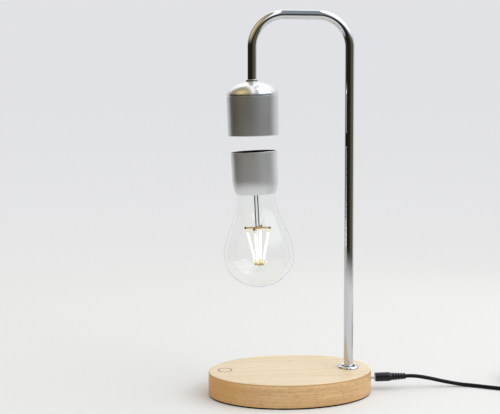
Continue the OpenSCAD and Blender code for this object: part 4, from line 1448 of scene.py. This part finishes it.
@dataclass
class MagnetHead(SubAssembly):
    """Chrome collar and dome over a satin can, closed from below."""

    body: ClassVar[Body] = Body.STAND
    dome_r: float = 25.6 * MM
    dome_h: float = 13.7 * MM
    dome_steps: int = 28
    flat_r: float = 7.0 * MM
    spigot_l: float = 3.0 * MM
    seam: float = 0.5 * MM
    can_h: float = 39.0 * MM
    can_low_r: float = 25.0 * MM
    can_edge: float = 0.3 * MM
    can_low_edge: float = 0.5 * MM
    wall: float = 1.2 * MM
    float_gap: float = 15.5 * MM
    collar_r: float = 6.4 * MM
    collar_h: float = 1.8 * MM
    collar_edges: Range = (0.2 * MM, 0.5 * MM)
    face_rise: float = 0.6 * MM
    face_t: float = 2.5 * MM
    face_edge: float = 0.4 * MM
    tube_r: float = 4.75 * MM
    fit: float = 0.15 * MM
    head_h: float = field(init=False)
    place: Matrix = field(init=False)

    def __post_init__(self) -> None:
        """Finds the head's place on the axis that the bulb floats on."""
        axis = Vector(joint("float_lift")["axis"]).normalized()
        rim = Vector(joint("bulb_spin")["pos_m"])
        self.head_h = self.dome_h + self.seam + self.can_h
        self.place = station(rim + axis * (self.head_h + self.float_gap), axis)

    def build_dome(self) -> Object:
        """Returns the dome, oval in section, with a flat round the tube and a spigot for the can."""
        rise = self.dome_h / math.sqrt(1 - (self.flat_r / self.dome_r) ** 2)
        top = math.asin(self.dome_h / rise)
        turns = [top * i / self.dome_steps for i in range(self.dome_steps + 1)]
        crown = [(self.dome_r * math.cos(a), rise * math.sin(a) - self.dome_h) for a in turns]
        hole, inner = self.tube_r + self.fit, self.dome_r - 2 * self.wall
        spigot, low = self.dome_r - self.wall - self.fit, -self.dome_h
        outline = [
            (inner, low - self.spigot_l), (spigot, low - self.spigot_l), (spigot, low),
            (self.dome_r - self.fit, low), *crown, (hole, 0), (hole, -self.wall),
            (self.flat_r, -self.wall), (inner, low), (inner, low - self.spigot_l)]
        return Bench.lathed("chrome_dome", outline, self.place)

    def build_collar(self) -> Object:
        """Returns the small ring on top of the dome."""
        hole, (low_edge, top_edge) = self.tube_r + self.fit, self.collar_edges
        outline = softened([
            (hole, 0, 0), (self.collar_r, 0, low_edge), (self.collar_r, self.collar_h, top_edge),
            (hole, self.collar_h, 0), (hole, 0, 0)])
        return Bench.lathed("chrome_collar", outline, self.place)

    def build_can(self) -> Object:
        """Returns the can, tapered a little and rounded at both edges."""
        top, low = -self.dome_h - self.seam, -self.head_h
        outline = softened([
            (self.dome_r - self.wall, top, 0), (self.can_low_r - self.wall, low, self.can_edge),
            (self.can_low_r, low, self.can_low_edge), (self.dome_r, top, self.can_edge),
            (self.dome_r - self.wall, top, 0)])
        return Bench.lathed("satin_can", outline, self.place)

    def build_face(self) -> Object:
        """Returns the black disc that closes the can from below."""
        low = -self.head_h + self.face_rise
        top = low + self.face_t
        radius = self.can_low_r - self.wall - self.fit
        outline = softened([(0, top, 0), (radius, top, 0), (radius, low, self.face_edge), (0, low, 0)])
        return Bench.lathed("black_face", outline, self.place)

    def build(self) -> None:
        """Makes and dresses the head's shells."""
        made = self.finishes
        self.dress(self.build_collar(), made.chrome, Slot.CHROME, "head_collar")
        self.dress(self.build_dome(), made.dome, Slot.CHROME, "head_dome")
        self.dress(self.build_can(), made.can, Slot.SATIN, "head_shell")
        self.dress(self.build_face(), made.black, Slot.BLACK, "head_face")


@dataclass
class FloatingBulb(SubAssembly):
    """Satin cap, clear glass, stem and glowing filaments."""

    body: ClassVar[Body] = Body.BULB
    # Cap and lid
    rim_r: float = 23.0 * MM
    rim_l: float = 3.0 * MM
    rim_edge: float = 0.3 * MM
    cap_low_r: float = 22.6 * MM
    mouth_r: float = 19.5 * MM
    cap_h: float = 41.8 * MM
    shoulder_h: float = 15.0 * MM
    shoulder_powers: Range = (1.9, 0.86)
    shoulder_steps: int = 24
    cap_t: float = 1.0 * MM
    mouth_t: float = 0.35 * MM
    lid_recess: float = 0.9 * MM
    lid_t: float = 2.0 * MM
    lid_gap: float = 0.05 * MM
    lid_rim: float = 0.12 * MM
    lid_border: float = 0.7 * MM
    lid_edge: float = 0.1 * MM
    # Glass
    neck_r: float = 19.1 * MM
    neck_top: float = 21.0 * MM
    neck_end: float = 46.0 * MM
    belly_r: float = 35.0 * MM
    belly_at: float = 102.9 * MM
    bulb_len: float = 134.6 * MM
    glass_t: float = 0.45 * MM
    foot_t: float = 0.6 * MM
    glass_steps: int = 40
    # Stem and lead wires
    stem_r: float = 1.0 * MM
    tip_r: float = 0.9 * MM
    flare_end: float = 35.0 * MM
    flare_t: float = 2.0 * MM
    flare_w: float = 3.0 * MM
    flare_floor: float = 4.0 * MM
    lead_r: float = 0.55 * MM
    lead_edge: float = 0.1 * MM
    # Spider, hub and beads
    arms: int = 4
    spider_at: float = 76.0 * MM
    spider_r: float = 12.6 * MM
    spider_turn: float = -23.5
    hub_at: float = 112.5 * MM
    hub_r: float = 4.8 * MM
    wire_r: float = 0.85 * MM
    ring_soft: float = 0.4
    arm_soft: float = 0.3
    bead_r: float = 1.3 * MM
    bead_rings: int = 14
    # Filaments
    filament_r: float = 0.48 * MM
    filament_edge: float = 0.35 * MM
    halo_r: float = 0.92 * MM
    halo_edge: float = 0.3 * MM
    halo_gap: float = 0.45 * MM
    pin_r: float = 0.95 * MM
    pin_l: float = 3.4 * MM
    pin_over: float = 0.4 * MM
    pin_edge: float = 0.15 * MM
    fit: float = 0.15 * MM
    place: Matrix = field(init=False)

    def __post_init__(self) -> None:
        """Finds the bulb's place from the axis that it turns on."""
        spin = joint("bulb_spin")
        self.place = station(Vector(spin["pos_m"]), Vector(spin["axis"]).normalized())

    def at(self, radius: float, angle: float, down: float) -> Vector:
        """Finds a point in the bulb.

        Args:
            radius: Distance from the bulb's axis.
            angle: Turn about the axis, in degrees.
            down: Distance below the cap's rim.

        Returns:
            The point in the lamp's frame.
        """
        turn = math.radians(angle)
        return self.place @ Vector((radius * math.cos(turn), radius * math.sin(turn), -down))

    def arm_turns(self) -> list[float]:
        """Returns the turn of each of the spider's arms, in degrees."""
        return [self.spider_turn + 360 / self.arms * index for index in range(self.arms)]

    def shoulder(self, inset: float, mouth_inset: float) -> list[Point2]:
        """Draws the cap's round shoulder.

        Args:
            inset: How far the line is drawn in where the shoulder starts.
            mouth_inset: How far it is drawn in at the mouth.

        Returns:
            The shoulder's points, downwards.
        """
        start = self.cap_h - self.shoulder_h
        radius, mouth = self.cap_low_r - inset, self.mouth_r - mouth_inset
        down, out = self.shoulder_powers
        shares = [i / self.shoulder_steps for i in range(self.shoulder_steps + 1)]
        return [(mouth + (radius - mouth) * (1 - share**down) ** out, -start - self.shoulder_h * share)
                for share in shares]

    def build_cap(self) -> Object:
        """Returns the cap, open at both ends."""
        rim, inner, edge = self.rim_r, self.rim_r - self.cap_t, self.rim_edge
        top = softened([(inner, -self.rim_l, 0), (inner, 0, edge), (rim, 0, edge), (rim, -self.rim_l, 0)])
        inside = self.shoulder(self.cap_t, self.mouth_t)
        outline = [*top, *self.shoulder(0, 0), *reversed(inside), top[0]]
        return Bench.lathed("satin_cap", outline, self.place)

    def build_lid(self) -> Object:
        """Returns the black disc let into the cap's rim, with a raised border."""
        radius, edge = self.rim_r - self.cap_t - self.lid_gap, self.lid_edge
        inner, rim = radius - self.lid_border, -self.lid_rim
        top, low = -self.lid_recess, -self.lid_recess - self.lid_t
        outline = softened([
            (0, low, 0), (radius - 2 * edge, low, 0), (radius, rim, edge), (inner, rim, edge),
            (inner, top, 2 * edge), (0, top, 0)])
        return Bench.lathed("black_lid", outline, self.place)

    def glass_outline(self, inset: float, foot_inset: float) -> list[Point2]:
        """Draws the glass's outline from its neck to its lowest point.

        Args:
            inset: How far the line is drawn in down to the belly.
            foot_inset: How far it is drawn in at the lowest point.

        Returns:
            The outline's points, downwards.
        """
        points = [(self.neck_r - inset, -self.neck_top)]
        for i in range(self.glass_steps):
            t = i / self.glass_steps
            swell = self.neck_r + (self.belly_r - self.neck_r) * eased(t)
            points.append((swell - inset, -self.neck_end - (self.belly_at - self.neck_end) * t))
        foot = self.bulb_len - self.belly_at - foot_inset
        for i in range(self.glass_steps):
            a = math.pi / 2 * i / self.glass_steps
            points.append(((self.belly_r - inset) * math.cos(a), -self.belly_at - foot * math.sin(a)))
        return [*points, (0.0, -self.belly_at - foot)]

    def build_glass(self) -> Object:
        """Returns the blown glass as a thin double wall."""
        outer, inner = self.glass_outline(0, 0), self.glass_outline(self.glass_t, self.foot_t)
        return Bench.lathed("blown_glass", [*reversed(outer), *inner], self.place)

    def build_stem(self) -> Object:
        """Returns the glass stem with its flare."""
        flare_r = self.neck_r - self.glass_t - self.fit
        inner_r, soft, w = flare_r - self.flare_t, self.flare_w, self.wire_r
        outline = [
            (inner_r, -self.neck_top), (flare_r, -self.neck_top), (flare_r, -self.neck_top - self.flare_t),
            (self.stem_r + soft, -self.flare_end + soft), (self.stem_r, -self.flare_end - soft),
            (self.stem_r, -self.spider_at - w), (self.tip_r, -self.spider_at - 4 * w),
            (self.tip_r, -self.hub_at - w), (0, -self.hub_at - 2 * w),
            (0, -self.flare_end + self.flare_floor), (inner_r, -self.neck_top),
        ]
        return Bench.lathed("stem_tube", outline, self.place, SMALL_TURN_STEPS)

    def build_lead_wires(self) -> Object:
        """Returns the two lead wires along the stem."""
        reach, heights = self.stem_r + self.lead_r, (self.flare_end - self.flare_t, self.spider_at)
        wires = []
        for turn in (0, 180):
            start, end = (self.at(reach, turn, down) for down in heights)
            wires.append(Bench.rod("wire", self.lead_r, start, end, self.lead_edge, WIRE_STEPS))
        return Bench.smooth(Bench.joined("lead_wires", wires))

    def build_cross(self, name: str, reach: float, hole: float, down: float) -> Object:
        """Makes a ring with four arms round the stem.

        Args:
            name: The piece's name.
            reach: Length of the arms from the axis.
            hole: Radius of the ring's hole.
            down: Distance below the cap's rim.

        Returns:
            The cross.
        """
        w = self.wire_r
        outer, soft = hole + 2 * w, self.ring_soft * w
        outline = softened([(hole, -w, 0), (outer, -w, soft), (outer, w, soft), (hole, w, 0), (hole, -w, 0)],
                           SMALL_ARC_STEPS)
        ring = Bench.turned(name, outline, SMALL_TURN_STEPS)
        Bench.put(ring, self.place @ Matrix.Translation((0, 0, -down)))
        arms = [Bench.rod("arm", w, self.at(hole + w, turn, down), self.at(reach, turn, down),
                          self.arm_soft * w) for turn in self.arm_turns()]
        return Bench.smooth(Bench.joined(name, [ring, *arms]))

    def build_beads(self) -> Object:
        """Returns the dark beads at the ends of the spider's arms."""
        beads = []
        for turn in self.arm_turns():
            Bench.clear()
            bpy.ops.mesh.primitive_uv_sphere_add(
                segments=ROD_STEPS, ring_count=self.bead_rings, radius=self.bead_r,
                location=self.at(self.spider_r, turn, self.spider_at))
            beads.append(Bench.settled("bead"))
        joined = Bench.joined("arm_beads", beads)
        bpy.ops.object.shade_smooth()
        return joined

    def build_filament(self, number: int, turn: float) -> tuple[Object, Object, Object]:
        """Makes one filament.

        Args:
            number: Which of them it is, from 1.
            turn: The turn of its arm, in degrees.

        Returns:
            Its glowing rod, the painted glow halo round the rod and its two metal pins.
        """
        gap = self.wire_r + self.fit
        top = self.at(self.spider_r - self.bead_r, turn, self.spider_at + gap)
        low = self.at(self.hub_r - self.wire_r, turn, self.hub_at - gap)
        along = (low - top).normalized()
        lit, pin, bare = (along * length for length in (
            self.pin_l, self.pin_l + self.pin_over, self.pin_l + self.halo_gap))
        rod = Bench.rod(f"filament_{number}", self.filament_r, top + lit, low - lit, self.filament_edge)
        pins = [Bench.rod("pin", self.pin_r, start, end, self.pin_edge, WIRE_STEPS)
                for start, end in ((top, top + pin), (low - pin, low))]
        glow_halo = Bench.rod(f"filament_halo_{number}", self.halo_r, top + bare, low - bare, self.halo_edge)
        ends = Bench.joined(f"filament_pins_{number}", pins)
        return Bench.smooth(rod), Bench.smooth(glow_halo), Bench.smooth(ends)

    def build(self) -> None:
        """Makes and dresses the bulb's pieces."""
        made = self.finishes
        self.dress(self.build_cap(), made.cap, Slot.SATIN, "bulb_cap")
        self.dress(self.build_lid(), made.lid, Slot.BLACK, "cap_lid")
        self.dress(self.build_glass(), made.glass, Slot.GLASS, "glass_envelope")
        self.dress(self.build_stem(), made.stem, Slot.GLASS, "glass_stem")
        self.dress(self.build_lead_wires(), made.lead_wire, Slot.BRASS)
        spider = self.build_cross("upper_spider", self.spider_r, self.stem_r + self.lead_r, self.spider_at)
        self.dress(spider, made.brass, Slot.BRASS, "filament_spider")
        self.dress(self.build_beads(), made.bead, Slot.BRASS)
        hub = self.build_cross("lower_hub", self.hub_r, self.tip_r + self.fit, self.hub_at)
        self.dress(hub, made.brass, Slot.BRASS, "filament_hub")
        for number, turn in enumerate(self.arm_turns(), 1):
            rod, glow_halo, pins = self.build_filament(number, turn)
            self.dress(rod, made.glow, Slot.FILAMENT, f"led_filament_{number}")
            # The halo is painted glow round the filament.
            self.dress(glow_halo, made.glow_halo, Slot.FILAMENT)
            self.dress(pins, made.end_cap, Slot.BRASS)


@dataclass
class InnerWorks:
    """The frame's own nodes that stay as they are and only get their finish."""

    finishes: Finishes

    def dress(self) -> None:
        """Gives each kept node its material."""
        made = self.finishes
        groups: dict[str, tuple[Material, Sequence[str]]] = {
            "plastic": (made.black, ("bottom_plate", "dc_jack", "magnet_cup", "coil_bobbin", "hall_sensor")),
            "rubber": (made.rubber, tuple(f"rubber_foot_{i}" for i in range(1, FEET + 1))),
            "boards": (made.board, ("control_board", "head_board", "bulb_board")),
            "steel": (made.steel, ("plate_screws", "board_screws", "post_washer", "post_nut", "head_nut")),
            "magnet": (made.plated, ("float_magnet",)),
            "copper": (made.copper, ("magnet_winding", "power_coil", "receiver_coil", "touch_pad")),
            "iron": (made.iron, ("magnet_yoke", "magnet_core")),
            "pale": (made.pale_plastic, ("board_spacers", "neck_cement")),
            "wires": (made.wire, ("touch_lead", "jack_leads")),
            "cable": (made.jacket, ("head_cable",)),
        }
        for name, (finish, nodes) in groups.items():
            for node in nodes:
                mesh = frame["nodes"][node].data
                mesh.materials.clear()
                mesh.materials.append(finish)
            log.info("%s: finish for %s", name, ", ".join(nodes))


def main() -> None:
    """Builds the lamp: camera and lead first, then the stand, the head, the bulb and the studio."""
    logging.basicConfig(level=logging.INFO, format="%(name)s: %(message)s")
    studio = Studio()
    studio.set_camera()
    finishes = Finishes()
    for group in (PowerLead, WoodFoot, BentArm, MagnetHead, FloatingBulb):
        group(finishes).build()
    InnerWorks(finishes).dress()
    studio.light_up()


if __name__ == "__main__":
    main()
